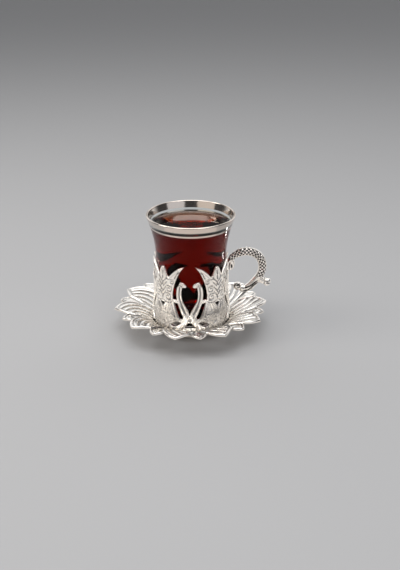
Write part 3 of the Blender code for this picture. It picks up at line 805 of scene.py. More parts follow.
def turned(profile, segments):
    """A closed profile of radius and height, turned round the axis, as points and faces."""
    rings = []
    for radius, height in profile:
        turns = [2.0 * math.pi * i / segments for i in range(segments if radius > WELD else 1)]
        rings.append([(radius * math.cos(a), radius * math.sin(a), height) for a in turns])
    return skinned(rings, closed=True)


def arc(centre, radius, start, end, steps=6):
    """Points of a round corner, from one angle to another in degrees."""
    angles = [math.radians(start + (end - start) * i / steps) for i in range(steps + 1)]
    return [(centre[0] + radius * math.cos(a), centre[1] + radius * math.sin(a)) for a in angles]


def glass_outer(z):
    """Radius of the glass outside."""
    rise = max(z - FLARE_START_Z, 0.0) / (LIP_Z - FLARE_START_Z)
    return GLASS_RADIUS + FLARE_BELL * rise ** 1.5 + FLARE_LIP * rise ** 6


def glass_inner(z):
    """Radius of the glass inside."""
    return glass_outer(z) - GLASS_WALL


def heights(low, high, step=1.2):
    """Heights about a step apart."""
    steps = max(1, round((high - low) / step))
    return [low + (high - low) * i / steps for i in range(steps + 1)]


def glass_profile(top):
    """The glass wall's closed profile, with a round lip and a heavy bottom."""
    low = top - LIP_ROUND
    middle = (glass_outer(low) - LIP_ROUND, low)
    foot = (GLASS_RADIUS - GLASS_CORNER, GLASS_BASE_Z + GLASS_CORNER)
    corner = (GLASS_RADIUS - GLASS_WALL - GLASS_FLOOR_CORNER, GLASS_FLOOR_Z + GLASS_FLOOR_CORNER)
    profile = [(0.0, GLASS_BASE_Z)] + arc(foot, GLASS_CORNER, -90.0, 0.0)
    profile += [(glass_outer(z), z) for z in heights(GLASS_BASE_Z + WALL_START, low)]
    profile += arc(middle, LIP_ROUND, *LIP_ARC)
    profile += [(glass_inner(z), z) for z in heights(GLASS_FLOOR_Z + WALL_START, low)[::-1]]
    return profile + arc(corner, GLASS_FLOOR_CORNER, 0.0, -90.0) + [(0.0, GLASS_FLOOR_Z)]


def tea_profile(reach, meniscus):
    """The drink's closed profile, a little way into the wall, climbing it at the rim."""
    floor = GLASS_FLOOR_Z - reach
    corner = (GLASS_RADIUS - GLASS_WALL + reach - GLASS_FLOOR_CORNER, floor + GLASS_FLOOR_CORNER)
    profile = [(0.0, floor)] + arc(corner, GLASS_FLOOR_CORNER, -90.0, 0.0)
    profile += [(glass_inner(z) + reach, z) for z in heights(floor + WALL_START, TEA_Z)]
    for share in (0.12, 0.25, 0.4, 0.6, 0.8, 1.0):
        sunk = meniscus * (1.0 - (1.0 - share) ** 3)
        profile.append((glass_inner(TEA_Z) - MENISCUS_WIDTH * share, TEA_Z - sunk))
    return profile + [(CALM_RADIUS, TEA_Z - meniscus), (0.0, TEA_Z - meniscus)]


def skin_profile(outer_low, inner_low, thickness, lip):
    """A thin coating's closed profile, outside, over the lip if it has one, and inside."""
    low = LIP_Z - thickness - LIP_ROUND
    middle = (glass_outer(low) - LIP_ROUND, low)
    outside = heights(outer_low, low if lip else inner_low, 0.5)
    path = [((glass_outer(z), z), (1.0, 0.0)) for z in outside]
    if lip:
        ways = arc((0.0, 0.0), 1.0, *LIP_ARC)
        path += list(zip(arc(middle, LIP_ROUND, *LIP_ARC), ways))
        path += [((glass_inner(z), z), (-1.0, 0.0)) for z in heights(inner_low, low, 0.5)[::-1]]
    skin, bed = (
        [(x + n * lift, z + m * lift) for (x, z), (n, m) in path] for lift in (thickness, COATING_LIFT)
    )
    return skin + bed[::-1]


def foot_flare(z):
    """How far the holder's wall stands out at its foot."""
    return ramp(z, *FOOT_FLARE)


def swan_strokes():
    """Raised and engraved lines on one swan, as line, half width and height."""
    strokes = []
    for half_width, height, lines in SWAN_STROKES.values():
        strokes += [(spline(line, FINE_LINE_STEP), half_width, height) for line in lines]
    half_width, height, pits = SEAM_PITS
    strokes += [([(HALF_PITCH, z) for z in pit], half_width, height) for pit in pits]
    half_width, height, tips = FAN
    strokes += [([FAN_ROOT, tip], half_width, height) for tip in tips]
    for half_width, height, inner, spirals in (SWAN_WHORLS, SWAN_CURLS):
        strokes += [(spiral(*placed, inner), half_width, height) for placed in spirals]
    return strokes


def swan_relief(flat):
    """Height of one swan's face over the plain cylinder, and how deep in a recess it lies."""
    z = flat[:, 1]
    off_neck = distance(spline(NECK_LINE, LINE_STEP), flat)
    on_neck = off_neck < NECK_HALF
    channelled = ramp(z, *CHANNEL_START) * ramp(z, *CHANNEL_END)
    crown = ridge(off_neck, *NECK_CROWN)
    neck = crown + (ridge(off_neck, *NECK_RIM) - crown) * channelled
    channel = ridge(off_neck, *NECK_CHANNEL) * channelled

    foot = spline(WING_FOOT, LINE_STEP)
    on_wing = inside(np.vstack((foot, WING_REST)), flat) & ~on_neck
    off_foot = distance(foot, flat)
    rim = nearest([spline(line, LINE_STEP) for line in (WING_INNER, WING_OUTER, TAIL_LEAF)], flat)
    wing = WING_GROUND + ridge(np.minimum(rim, off_foot), *WING_BORDER) + ramp(rim, *WING_SWELL)
    wing_groove = ridge(rim, *WING_GROOVE)

    front = spline(BODY_FRONT, LINE_STEP)
    on_body = inside(np.vstack((front, BODY_REST, foot[::-1])), flat) & ~on_wing
    off_front = distance(front, flat)
    body = BODY_GROUND + ramp(off_front, *BODY_SWELL) + ridge(off_front, *BODY_BORDER)
    body_groove = ridge(off_front, *BODY_GROOVE) * ramp(z, *BODY_GROOVE_START)
    step_groove = ridge(off_foot, *STEP_GROOVE)

    raised, sunken = carved(flat, swan_strokes())
    notch = ramp(distance(WING_NOTCH, flat), *NOTCH_SIDE) * inside(WING_NOTCH, flat)
    sunken -= NOTCH_DEPTH * notch
    ground = np.select([on_wing, on_body], [wing, body], ramp(z, *LEG_GROUND))
    fade = ramp(off_neck, *NECK_FADE)
    height = np.where(on_neck, neck * (1.0 - fade) + np.maximum(neck, ground) * fade, ground + raised)
    depths = [0.0, WING_GROOVE_DEPTH * wing_groove]
    depths.append(BODY_GROOVE_DEPTH * body_groove + STEP_GROOVE_DEPTH * step_groove)
    height += sunken - np.select([on_neck, on_wing, on_body], depths, 0.0)

    # Painted shade and patina in the neck's channel, the grooves, the notch and the cuts, and darker
    # towards the foot
    low = ramp(z, *LOW_DARK)
    darks = [CHANNEL_DARK * channel, WING_DARK * wing_groove]
    darks.append(np.maximum.reduce([BODY_DARK * body_groove, STEP_DARK * step_groove, low]))
    recess = np.select([on_neck, on_wing, on_body], darks, low)
    recess = np.maximum.reduce([recess, -sunken / FULLY_DARK, ramp(notch, *NOTCH_DARK)])
    return height, np.clip(recess, 0.0, 1.0)


def wrapped(flat, radius):
    """Wraps a flat outline round the axis at a radius."""
    turn = flat[:, 0] / HOLDER_RADIUS
    return np.column_stack((radius * np.sin(turn), -radius * np.cos(turn), flat[:, 1]))


def smooth_loop(curves, step):
    """One closed loop from smooth curves that meet end to end."""
    return joined(*(spline(curve, step) for curve in curves))


def unpolished(recess, count):
    """Recess values for all of a casting's points: its back was never buffed."""
    return np.concatenate((recess, np.full(count - len(recess), UNPOLISHED)))


def swan_pair(spacing, edge_round):
    """Two facing swans as one unit mesh: a quarter of the holder."""
    front_seam = straight(NECK_JOINT, spacing)
    side_seam = straight([(HALF_PITCH, TAIL_TOP_Z), (HALF_PITCH, SWAN_BOTTOM_Z)], spacing)
    curves = (NECK_INNER, BEAK, NECK_OUTER, BRIDGE_TOP, WING_INNER, WING_OUTER, TAIL_LEAF)
    curves = [spline(curve, spacing) for curve in curves]
    foot = [straight(line, spacing) for line in (SWAN_FOOT, LEG)]
    outline = joined(front_seam, *curves, side_seam, *foot)
    holes = [smooth_loop(BODY_SLOT, spacing), smooth_loop(ALMOND, spacing)]
    sheet = Sheet(outline, holes, [front_seam, side_seam], spacing, SWAN_BACK * spacing)
    relief, recess = swan_relief(sheet.face)
    relief -= arris(sheet.from_edge(sheet.face), edge_round)
    points, faces = sheet.cast(
        lambda flat: wrapped(flat, HOLDER_RADIUS + foot_flare(flat[:, 1]) + relief),
        lambda flat: wrapped(flat, HOLDER_INNER + foot_flare(flat[:, 1])),
    )
    twin_faces = [tuple(len(points) + i for i in face[::-1]) for face in faces]
    points = np.vstack((points, points * (-1.0, 1.0, 1.0)))
    recess = np.tile(unpolished(recess, len(points) // 2), 2)
    return mesh_of("swan_pair", points, faces + twin_faces, values=recess)


def foot_profile():
    """Closed profile of the ring round the glass, its floor and the cone under it."""
    floor_low = HOLDER_FLOOR_Z - HOLDER_FLOOR_THICKNESS
    corner = (RING_OUTER - RING_EDGE, RING_TOP_Z - RING_EDGE)
    profile = [(RING_INNER, RING_TOP_Z)] + arc(corner, RING_EDGE, 90.0, 0.0)
    for t in np.linspace(1.0, -1.0, 9):
        depth = float(ridge(t, 0.0, 1.0, RING_GROOVE_DEPTH))
        profile.append((RING_OUTER - depth, RING_GROOVE_Z + RING_GROOVE_HALF * float(t)))
    profile.append((RING_OUTER, RING_BOTTOM_Z))
    for share in (0.2, 0.45, 0.7, 1.0):
        radius = RING_OUTER + (CONE_RADIUS - RING_OUTER) * share - CONE_BOW * math.sin(math.pi * share)
        profile.append((radius, RING_BOTTOM_Z + (CONE_BOTTOM_Z - RING_BOTTOM_Z) * share))
    profile.append((CONE_RADIUS - CONE_WALL, CONE_BOTTOM_Z))
    profile.append((RING_OUTER - CONE_WALL - CONE_SHOULDER, floor_low))
    return profile + [(0.0, floor_low), (0.0, HOLDER_FLOOR_Z), (RING_INNER, HOLDER_FLOOR_Z)]


def swept(line, depth, relief, sides=96, step=0.22, fullness=0.85):
    """An oval swept along a line of x, z and half width in the handle's plane, with round ends."""
    line = spline(line, step)
    along = np.gradient(line[:, :2], axis=0)
    along /= np.linalg.norm(along, axis=1)[:, None]
    length = np.cumsum(np.linalg.norm(np.diff(line[:, :2], axis=0, prepend=line[:1, :2]), axis=1))
    caps = np.radians(CAP_ANGLES)
    stations = [(0, -math.sin(a), math.cos(a)) for a in caps]
    stations += [(i, 0.0, 1.0) for i in range(len(line))]
    stations += [(-1, math.sin(a), math.cos(a)) for a in caps[::-1]]
    turns = 2.0 * np.pi * np.arange(sides) / sides
    cosine, sine = (np.sign(way) * np.abs(way) ** fullness for way in (np.cos(turns), np.sin(turns)))
    poles = []
    for i, way in ((0, -1.0), (-1, 1.0)):
        x, z = line[i, :2] + way * CAP_LENGTH * line[i, 2] * along[i]
        poles.append([(x, 0.0, z)])
    rings = []
    recess = []
    for i, beyond, scale in stations:
        half_width = line[i, 2]
        side = np.array((-along[i, 1], along[i, 0]))
        centre = line[i, :2] + along[i] * beyond * CAP_LENGTH * half_width
        across = half_width * scale * cosine
        outward = np.column_stack((np.cos(turns) / half_width, np.sin(turns) / depth))
        outward /= np.linalg.norm(outward, axis=1)[:, None]
        flat = centre + across[:, None] * side
        height, dark = relief(flat, length[i], across, np.abs(outward[:, 1]))
        height = height * scale
        flat = flat + (height * outward[:, 0])[:, None] * side
        y = depth * scale * sine + height * outward[:, 1]
        rings.append(np.column_stack((flat[:, 0], y, flat[:, 1])))
        recess.append(dark)
    points, faces = skinned(poles[:1] + rings + poles[1:])
    return mesh_of("limb", points, faces, values=np.concatenate([[0.0], *recess, [0.0]]))


def cuts(flat, strokes, share=1.0, step=LINE_STEP):
    """Engraved lines on the handle as a height, by a share for each point, and how dark they are
    painted as shade and patina.
    """
    sunken = share * carved(flat, [(spline(line, step), *size) for line, *size in strokes])[1]
    return sunken, np.clip(-sunken / HANDLE_FULLY_DARK, 0.0, 1.0)


def limb_relief(flat, along, across, facing):
    """Rows of studs over the arch between grooved borders, then flutes down the lower limb."""
    arch = ramp(along, *ARCH_START) * ramp(along, *ARCH_END)
    girth = ARCH_HALF * np.arcsin(np.clip(across / ARCH_HALF, -1.0, 1.0))
    checks = np.sin(np.pi * along / STUD_SIZE) * np.sin(np.pi * (girth - STUD_LOW) / STUD_SIZE)
    checks = np.clip(STUD_STEEPNESS * checks, -1.0, 1.0)
    field = arch * ramp(girth, STUD_LOW - 0.5 * STUD_EDGE, STUD_EDGE)
    field = field * ramp(girth, STUD_HIGH + 0.5 * STUD_EDGE, -STUD_EDGE)
    grooves = arch * np.maximum(ridge(girth, *OUTER_GROOVE), ridge(girth, *INNER_GROOVE))
    flutes, flute_dark = cuts(flat, LIMB_FLUTES, ramp(facing, *FLUTE_FACING), LONG_LINE_STEP)
    # Painted shade and patina in the grooves, the flutes and the gaps between the studs
    gap_dark, contrast = STUD_GAP_DARK
    gaps = field * np.clip(gap_dark - contrast * checks, 0.0, 1.0)
    dark = np.maximum.reduce([gaps, grooves, flute_dark])
    return STUD_HEIGHT * field * checks - ARCH_GROOVE_DEPTH * grooves + flutes, dark


def leaf_relief(flat, _along, _across, facing):
    """A dark oval and a crease on the leaf at the handle's root."""
    return cuts(flat, LEAF_CUTS, ramp(facing, *LEAF_FACING))


def knob_relief(flat, _along, _across, _facing):
    """A cleft that parts the knob's end in two lobes, and a crease round its neck."""
    return cuts(flat, KNOB_CUTS)


def scroll_mesh(rings=56, sides=80):
    """The rolled end of the lower limb, with its spiral and its eye on both faces."""
    strokes = [(spiral(*SCROLL_COIL), *SCROLL_COIL_CUT), (SCROLL_EYE, *SCROLL_EYE_CUT)]
    turns = -2.0 * np.pi * np.arange(sides) / sides
    circle = np.column_stack((np.cos(turns), np.sin(turns)))
    first, last = ([(SCROLL_CENTRE[0], y, SCROLL_CENTRE[1])] for y in (-SCROLL_DEPTH, SCROLL_DEPTH))
    found = []
    dark = []
    for ring in range(1, rings):
        angle = math.pi * (ring / rings - 0.5)
        facing = abs(math.sin(angle))
        flat = circle * SCROLL_RADIUS * math.cos(angle) ** SCROLL_FULLNESS + SCROLL_CENTRE
        sunken = ramp(facing, *SCROLL_FACING) * carved(flat, strokes)[1]
        y = math.copysign(1.0, angle) * (SCROLL_DEPTH * facing ** SCROLL_FULLNESS + sunken)
        found.append(np.column_stack((flat[:, 0], y, flat[:, 1])))
        # Painted shade and patina in the spiral and the eye
        dark.append(np.clip(-sunken / SCROLL_FULLY_DARK, 0.0, 1.0))
    points, faces = skinned([first, *found, last])
    return mesh_of("scroll", points, faces, values=np.concatenate([[0.0], *dark, [0.0]]))


def post_mesh():
    """The bar between the facing necks, with rounded long edges and a narrowed foot."""
    rings = []
    middle = 0.3 * POST_BEVEL
    for half, z in straight(POST_SIDE, 1.0):
        ring = [(POST_INNER_X, half, z), (POST_OUTER_X - POST_BEVEL, half, z)]
        ring += [(POST_OUTER_X - middle, half - middle, z), (POST_OUTER_X, half - POST_BEVEL, z)]
        rings.append(ring + [(x, -y, z) for x, y, z in ring[::-1]])
    points, faces = skinned(rings)
    ends = range(len(points))
    faces += [tuple(ends[:len(rings[0])][::-1]), tuple(ends[-len(rings[0]):])]
    return mesh_of("post", points, faces)


def bead_meshes():
    """A row of beads where the arch meets the knob, on both faces."""
    found = []
    points, faces = turned(arc((0.0, 0.0), BEAD_RADIUS, -90.0, 90.0), 14)
    for x, z in spline(BEAD_ROW, BEAD_PITCH):
        for side in (-1.0, 1.0):
            place = (x, side * (KNOB_DEPTH - BEAD_SINK), z)
            found.append(mesh_of("bead", points + place, faces))
    return found


def plan(polar):
    """Places angles from the large petal's tip and radii on the saucer's plan."""
    polar = np.atleast_2d(np.asarray(polar, float))
    turn = np.radians(polar[:, 0] + LARGE_TIP_ANGLE)
    return np.column_stack((polar[:, 1] * np.sin(turn), -polar[:, 1] * np.cos(turn)))


def dish(radius):
    """Height of the saucer's upper face without its relief."""
    rising = CREST_Z - DISH_CURVE * (CREST_RADIUS - radius) ** 2
    return np.where(radius <= FLOOR_RADIUS, FLOOR_Z, rising)


def slot_line(slot, first, last, steps=24):
    """Centre line of a slot between two radii, as angles and radii."""
    _, _, base, slope, curve = slot
    radii = np.linspace(first, last, steps)
    reach = (radii - SLOT_MID_RADIUS) / SLOT_RADIUS_UNIT
    return np.column_stack((base + slope * reach + curve * reach * reach, radii))


def slot_loop(slot, step):
    """Outline of a curved slot with round ends."""
    first, last = slot[:2]
    steps = round((last - first) / step)
    angle, radius = slot_line(slot, first, last, steps + 1).T
    share = np.linspace(0.0, 1.0, steps + 1)
    opened = np.minimum(1.0, np.minimum(share, 1.0 - share) / SLOT_TAPER)
    half = np.degrees(0.5 * (SLOT_END_WIDTH + (SLOT_WIDTH - SLOT_END_WIDTH) * opened) / radius)
    near, far = (plan(np.column_stack((angle + side * half, radius))) for side in (1.0, -1.0))
    return joined(near, far[::-1])


def repeated(polar):
    """A line of angles and radii and its copies on the next petals both ways, in plan."""
    return [plan(polar + (turn * PETAL_PITCH, 0.0)) for turn in (-1, 0, 1)]


def neighbours(polar):
    """The smooth curve through a line's points, repeated."""
    return repeated(spline(polar, LONG_LINE_STEP))


def petal_relief(flat):
    """Height of the petals over the dish, how deep in a recess it lies, and the underside's drop.

    Every line is used with its copies on the petals beside it, so that the units meet exactly.
    """
    radius = np.hypot(*flat.T)
    valleys = neighbours(SMALL_PETAL_VALLEY)
    seams = neighbours(SEAM[3:])
    in_small = np.zeros(len(flat), bool)
    for valley, far, seam in zip(valleys, repeated(np.array(SMALL_PETAL_FAR)), seams):
        in_small |= inside(np.vstack((valley[::-1], far, seam[::-1])), flat)
    wall = nearest(valleys + seams, flat)
    tips = neighbours(LARGE_BACK_EDGE) + neighbours(LARGE_FRONT_EDGE)
    large_rim = np.minimum(wall, nearest(tips, flat))
    small_rim = nearest(neighbours(SMALL_PETAL_EDGE), flat)
    grown = ramp(radius, *PETAL_GROWTH)
    ribbed = ramp(radius, *RIB_GROWTH)
    seam_height = -SEAM_DEPTH * grown

    before, after, end = RIB_PAST_SLOT
    lines = []
    for slot in SLOTS:
        lines += repeated(slot_line(slot, slot[0] - before, min(slot[1] + after, end)))
    grooves = nearest(lines, flat)
    trench = ridge(large_rim, *PETAL_TRENCH) * grown
    field = 1.0 - (1.0 - ramp(large_rim, *PETAL_FIELD)) * grown
    rise = np.clip((grooves - RIB_START) / RIB_SPAN, 0.0, 1.0)
    ribs = RIB_HEIGHT * np.sin(0.5 * np.pi * rise) - RIB_SINK
    large = ridge(large_rim, *PETAL_BORDER) * grown - PETAL_TRENCH_DEPTH * trench
    large += ribs * field * ribbed
    large += (seam_height - large) * ramp(wall, *LARGE_SEAM) * grown
    # Painted shade and patina in the rib grooves and the trench
    rib_dark = RIB_DARK * field * ridge(grooves, *RIB_GROOVE) * ribbed
    large_dark = np.maximum(TRENCH_DARK * trench, rib_dark)

    tip = ramp(radius, *SMALL_TIP_START)
    tip_groove = ridge(small_rim, *SMALL_TIP_GROOVE) * tip
    near_dot = np.minimum.reduce([np.linalg.norm(flat - dot, axis=1) for dot in stipple_dots()])
    dots = ridge(near_dot, 0.0, DOT_HALF) * ramp(wall, *DOT_SIDE)
    beaded = radius > BEADS_START
    small = ridge(wall, *SMALL_SIDE) * (1.0 - tip) - SMALL_DROP * grown
    small += ridge(small_rim, *SMALL_TIP_BORDER) * tip - SMALL_TIP_DEPTH * tip_groove
    small += np.where(beaded, BEAD_HEIGHT, -DOT_DEPTH) * dots
    small += (seam_height - small) * ramp(wall, *SMALL_SEAM)
    # Painted shade and patina on the small petals' walls and in the punched dots
    small_dark = [ridge(wall, *SMALL_WALL_DARK), tip_groove, DOT_DARK * dots * ~beaded]

    height = np.where(in_small, small, large)
    recess = np.where(in_small, np.maximum.reduce(small_dark), large_dark)
    under = -SMALL_DROP * grown * (1.0 - ramp(wall, *SMALL_SEAM)) * in_small
    return height, np.clip(PETAL_SHADE_AND_PATINA * recess, 0.0, 1.0), under


def stipple_dots():
    """Places of the punched dots between the petals and of the beads near the small tips."""
    polar = list(TIP_BEADS)
    first_angle, drift, power = DOT_LINE
    for row, radius in enumerate(np.arange(*DOT_ROWS)):
        middle = first_angle + drift * (radius - DOT_ROWS[0]) ** power
        for column in range(-3, 4):
            aside = math.degrees((column + 0.5 * (row % 2)) * DOT_PITCH / radius)
            polar.append((middle + aside, radius))
    return plan(polar)


def petal_unit(spacing, edge_round):
    """A large and a small petal with a tenth of the saucer's floor, as one unit mesh."""
    edges = (LARGE_BACK_EDGE, LARGE_FRONT_EDGE, SMALL_PETAL_EDGE)
    edge = joined(*(plan(spline(line, spacing)) for line in edges))[::-1]
    other_seam, seam, _ = repeated(spline(SEAM, spacing))
    steps = round(math.radians(PETAL_PITCH) * FLOOR_RADIUS / spacing)
    angles = SEAM[0][0] - PETAL_PITCH * np.arange(steps, -1, -1) / steps
    well = plan(np.column_stack((angles, np.full(steps + 1, FLOOR_RADIUS))))
    outline = joined(well, seam, edge, other_seam[::-1])
    holes = [slot_loop(slot, spacing) for slot in SLOTS]
    sheet = Sheet(outline, holes, [seam, other_seam, well], spacing, PETAL_BACK * spacing)
    relief, recess, _ = petal_relief(sheet.face)
    relief -= arris(sheet.from_edge(sheet.face), edge_round)

    def face_place(flat):
        radius = np.hypot(*flat.T)
        return np.column_stack((flat, dish(radius) + relief * ramp(radius, *RELIEF_START)))

    def back_place(flat):
        radius = np.hypot(*flat.T)
        extra = ramp(radius, FLOOR_RADIUS + THINNING, -THINNING, FLOOR_Z - DISH_THICKNESS)
        return np.column_stack((flat, dish(radius) - DISH_THICKNESS - extra + petal_relief(flat)[2]))

    points, faces = sheet.cast(face_place, back_place)
    for height, way in ((FLOOR_Z, 1), (0.0, -1)):
        start = len(points)
        points = np.vstack((points, (0.0, 0.0, height), np.insert(well, 2, height, axis=1)))
        faces += [(start, start + i, start + i + 1)[::way] for i in range(1, len(well))]
    return mesh_of("petal_pair", points, faces, values=unpolished(recess, len(points)))


def started(name):
    """A new material, its empty node tree, and the piece's own coordinates in that tree."""
    material = bpy.data.materials.new(name)
    material.use_nodes = True
    tree = material.node_tree
    tree.nodes.clear()
    return material, tree, add_node(tree, "ShaderNodeTexCoord").outputs["Object"]


def opaque(colour):
    """A colour with the full alpha that a socket asks for."""
    return tuple(colour) + (1.0,)


def per_metre(size):
    """Scale of a texture whose marks have a size in millimetres."""
    return 1.0 / (size * MM)


def metal_surface(tree, colour, rough, marks, strength):
    """Ends a metal's tree with its colour, its gloss and the fine marks that its making left."""
    bump = {"Height": marks, "Strength": strength, "Distance": METAL_MARKS * MM}
    bump = add_node(tree, "ShaderNodeBump", bump)
    shader = {"Base Color": colour, "Metallic": 1.0, "Roughness": rough, "Normal": bump.outputs[0]}
    shader = add_node(tree, "ShaderNodeBsdfPrincipled", shader)
    add_node(tree, "ShaderNodeOutputMaterial", {"Surface": shader.outputs[0]})


def clear_surface(tree, tint, index, marks, strength, dry):
    """The smooth skin of a clear body.

    Its gloss fades where tea wets glass, as their indices nearly meet there.
    """
    bump = {"Height": marks, "Strength": strength, "Distance": CLEAR_MARKS * MM}
    bump = add_node(tree, "ShaderNodeBump", bump)
    wet = add_node(tree, "ShaderNodeAttribute", attribute_name="wet")
    gloss = {"Value": wet.outputs["Fac"], "To Min": dry, "To Max": WETTED_GLOSS}
    gloss = add_node(tree, "ShaderNodeMapRange", gloss)
    shader = {
        "Base Color": opaque(tint),
        "Roughness": 0.0,
        "IOR": index,
        "Transmission Weight": 1.0,
        "Specular Tint": gloss.outputs[0],
        "Normal": bump.outputs[0],
    }
    return add_node(tree, "ShaderNodeBsdfPrincipled", shader).outputs[0]


def silver_plate(look):
    """Silver plate on a zinc casting, buffed by hand.

    The raised faces are bright with a soft grain, and the recesses are painted grey as shade and
    patina.
    """
    material, tree, place = started("silver plate on cast zinc")
    cloud = {"Vector": place, "Scale": per_metre(BUFFED_CLOUD), "Detail": 3.0}
    cloud = add_node(tree, "ShaderNodeTexNoise", cloud).outputs["Fac"]
    grain = {"Vector": place, "Scale": per_metre(POLISHING_GRAIN), "Detail": 2.0}
    grain = add_node(tree, "ShaderNodeTexNoise", grain).outputs["Fac"]
    recess = add_node(tree, "ShaderNodeAttribute", attribute_name="recess").outputs["Fac"]
    tone = {0: cloud, 6: opaque(look.silver), 7: opaque(look.silver_warm)}
    tone = add_node(tree, "ShaderNodeMix", tone, data_type="RGBA")
    # Painted shade and patina in the recesses
    colour = {0: recess, 6: tone.outputs[2], 7: opaque(look.recess_shade_and_patina)}
    colour = add_node(tree, "ShaderNodeMix", colour, data_type="RGBA")
    low, high = (look.roughness + spread for spread in BUFFED_SPREAD)
    gloss = add_node(tree, "ShaderNodeMapRange", {"Value": cloud, "To Min": low, "To Max": high})
    rough = {0: recess, 1: RECESS_ROUGHER, 2: gloss.outputs[0]}
    rough = add_node(tree, "ShaderNodeMath", rough, operation="MULTIPLY_ADD")
    metal_surface(tree, colour.outputs[2], rough.outputs[0], grain, GRAIN_RELIEF)
    return material


def fired_silver(look):
    """Silver lustre fired on the glass: a mirror film with faint streaks round the rim."""
    material, tree, place = started("fired silver lustre")
    along, across = LUSTRE_STREAK
    drawn_out = {"Vector": place, "Scale": (1.0, 1.0, along / across)}
    drawn_out = add_node(tree, "ShaderNodeMapping", drawn_out)
    streaks = {"Vector": drawn_out.outputs[0], "Scale": per_metre(along), "Detail": 3.0}
    streaks = add_node(tree, "ShaderNodeTexNoise", streaks).outputs["Fac"]
    low, high = LUSTRE_ROUGH
    rough = add_node(tree, "ShaderNodeMapRange", {"Value": streaks, "To Min": low, "To Max": high})
    metal_surface(tree, opaque(look.lustre), rough.outputs[0], streaks, STREAK_RELIEF)
    return material


def soda_lime_glass(look):
    """Pressed soda-lime glass: clear and smooth, with the slow waves of a moulded wall."""
    material, tree, place = started("soda-lime glass")
    waves = {"Vector": place, "Scale": per_metre(WALL_WAVE), "Detail": 1.0}
    waves = add_node(tree, "ShaderNodeTexNoise", waves).outputs["Fac"]
    surface = clear_surface(tree, look.glass, GLASS_INDEX, waves, WAVE_RELIEF, GLASS_GLOSS)
    add_node(tree, "ShaderNodeOutputMaterial", {"Surface": surface})
    return material


def black_tea(look):
    """Strong black tea: water that soaks up blue and green, so thick parts are dark red."""
    material, tree, place = started("brewed black tea")
    ripple = {"Vector": place, "Scale": per_metre(TEA_RIPPLE), "Detail": 1.0}
    ripple = add_node(tree, "ShaderNodeTexNoise", ripple).outputs["Fac"]
    surface = clear_surface(tree, look.tea_film, TEA_INDEX, ripple, RIPPLE_RELIEF, TEA_GLOSS)
    soaked = {"Color": opaque(look.tea), "Density": look.tea_density}
    soaked = add_node(tree, "ShaderNodeVolumeAbsorption", soaked)
    add_node(tree, "ShaderNodeOutputMaterial", {"Surface": surface, "Volume": soaked.outputs[0]})
    return material


def backdrop_paper(look):
    """Matte pale grey paper roll with a barely visible fibre."""
    material, tree, place = started("matte paper backdrop")
    fibre = {"Vector": place, "Scale": per_metre(PAPER_FIBRE), "Detail": 4.0}
    fibre = add_node(tree, "ShaderNodeTexNoise", fibre).outputs["Fac"]
    tone = {0: fibre, 6: opaque(PAPER_FIBRE_SHADE * c for c in look.floor), 7: opaque(look.floor)}
    tone = add_node(tree, "ShaderNodeMix", tone, data_type="RGBA")
    shader = {"Base Color": tone.outputs[2], "Roughness": PAPER_ROUGH}
    shader = add_node(tree, "ShaderNodeBsdfPrincipled", shader)
    add_node(tree, "ShaderNodeOutputMaterial", {"Surface": shader.outputs[0]})
    return material


def shade(name, text, hex_colour):
    """A colour that the user can change."""
    return FloatVectorProperty(name=name, description=text, subtype="COLOR", default=linear(hex_colour))


def length(name, text, size):
    """A size in metres that the user can change."""
    return FloatProperty(name=name, description=text, unit="LENGTH", default=size)


def amount(name, text, value, unit="NONE"):
    """A strength that the user can change."""
    return FloatProperty(name=name, description=text, unit=unit, default=value, min=0.0)


class TeaGlassLook(PropertyGroup):
    """Colours and gloss that a user would change."""

    silver: shade("Silver", "Colour of the buffed plate", "#fbf9f5")
    silver_warm: shade("Warm Silver", "Colour where the plate is thin", "#f2ebe2")
    # Painted shade and patina in the recesses
    recess_shade_and_patina: shade("Tarnish", "Colour kept in the recesses", "#2b2827")
    roughness: FloatProperty(
        name="Plate Roughness", description="How soft the plate's reflections are",
        subtype="FACTOR", default=0.17, min=0.0, max=1.0
    )
    lustre: shade("Lustre", "Colour of the silver on the rim", "#ddd3c9")
    glass: shade("Glass", "Tint of the glass", "#f8fbfa")
    tea: shade("Tea", "Light that the tea lets through", "#f3a200")
    tea_film: shade("Tea Film", "Dimming by the tea's fine haze", "#aa9589")
    tea_density: amount("Tea Strength", "How strongly the tea soaks up light, per metre", 180.0)
    floor: shade("Floor", "Colour of the paper floor", "#acacad")


class TeaGlassSizes(PropertyGroup):
    """Sizes that a user would change."""

    segments: IntProperty(
        name="Glass Segments", description="Sides of the turned pieces", default=192, min=24
    )
    band_height: length("Band Height", "Height of the silver band outside", 0.0042)
    band_inner_height: length("Inner Band Height", "Height of the silver band inside", 0.0048)
    ring_low: length("Ring Height", "Lower edge of the thin ring", 0.077)
    ring_width: length("Ring Width", "Width of the thin ring", 0.0013)
    coating: length("Coating", "Thickness of the silver on the glass", 0.00006)
    meniscus: length("Meniscus", "How far the tea climbs the wall", 0.0004)
    wall_reach: length("Wall Reach", "How far the tea's mesh reaches into the wall", 0.00015)
    swan_grid: length("Swan Grid", "Spacing of the holder's mesh", 0.00034)
    petal_grid: length("Petal Grid", "Spacing of the saucer's mesh", 0.00046)
    edge_round: length("Edge Rounding", "Radius of the castings' edges", 0.00045)


class TeaGlassStage(PropertyGroup):
    """Light of the studio."""

    room: amount("Room Light", "Strength of the room's light", 1.15)
    front: amount("Front Panels", "Power of each panel by the camera", 2.0, "POWER")
    key: amount("Key", "Power of the left softbox", 3.0, "POWER")
    top: amount("Top", "Power of the overhead softbox", 12.4, "POWER")
    card: amount("Light Table", "Power of the glow under the silver", 0.47, "POWER")
    strip: amount("Right Strip", "Power of the strip that the glass mirrors", 0.16, "POWER")
    front_card: amount("Front Card", "Power of the glow that the rim mirrors", 0.022, "POWER")


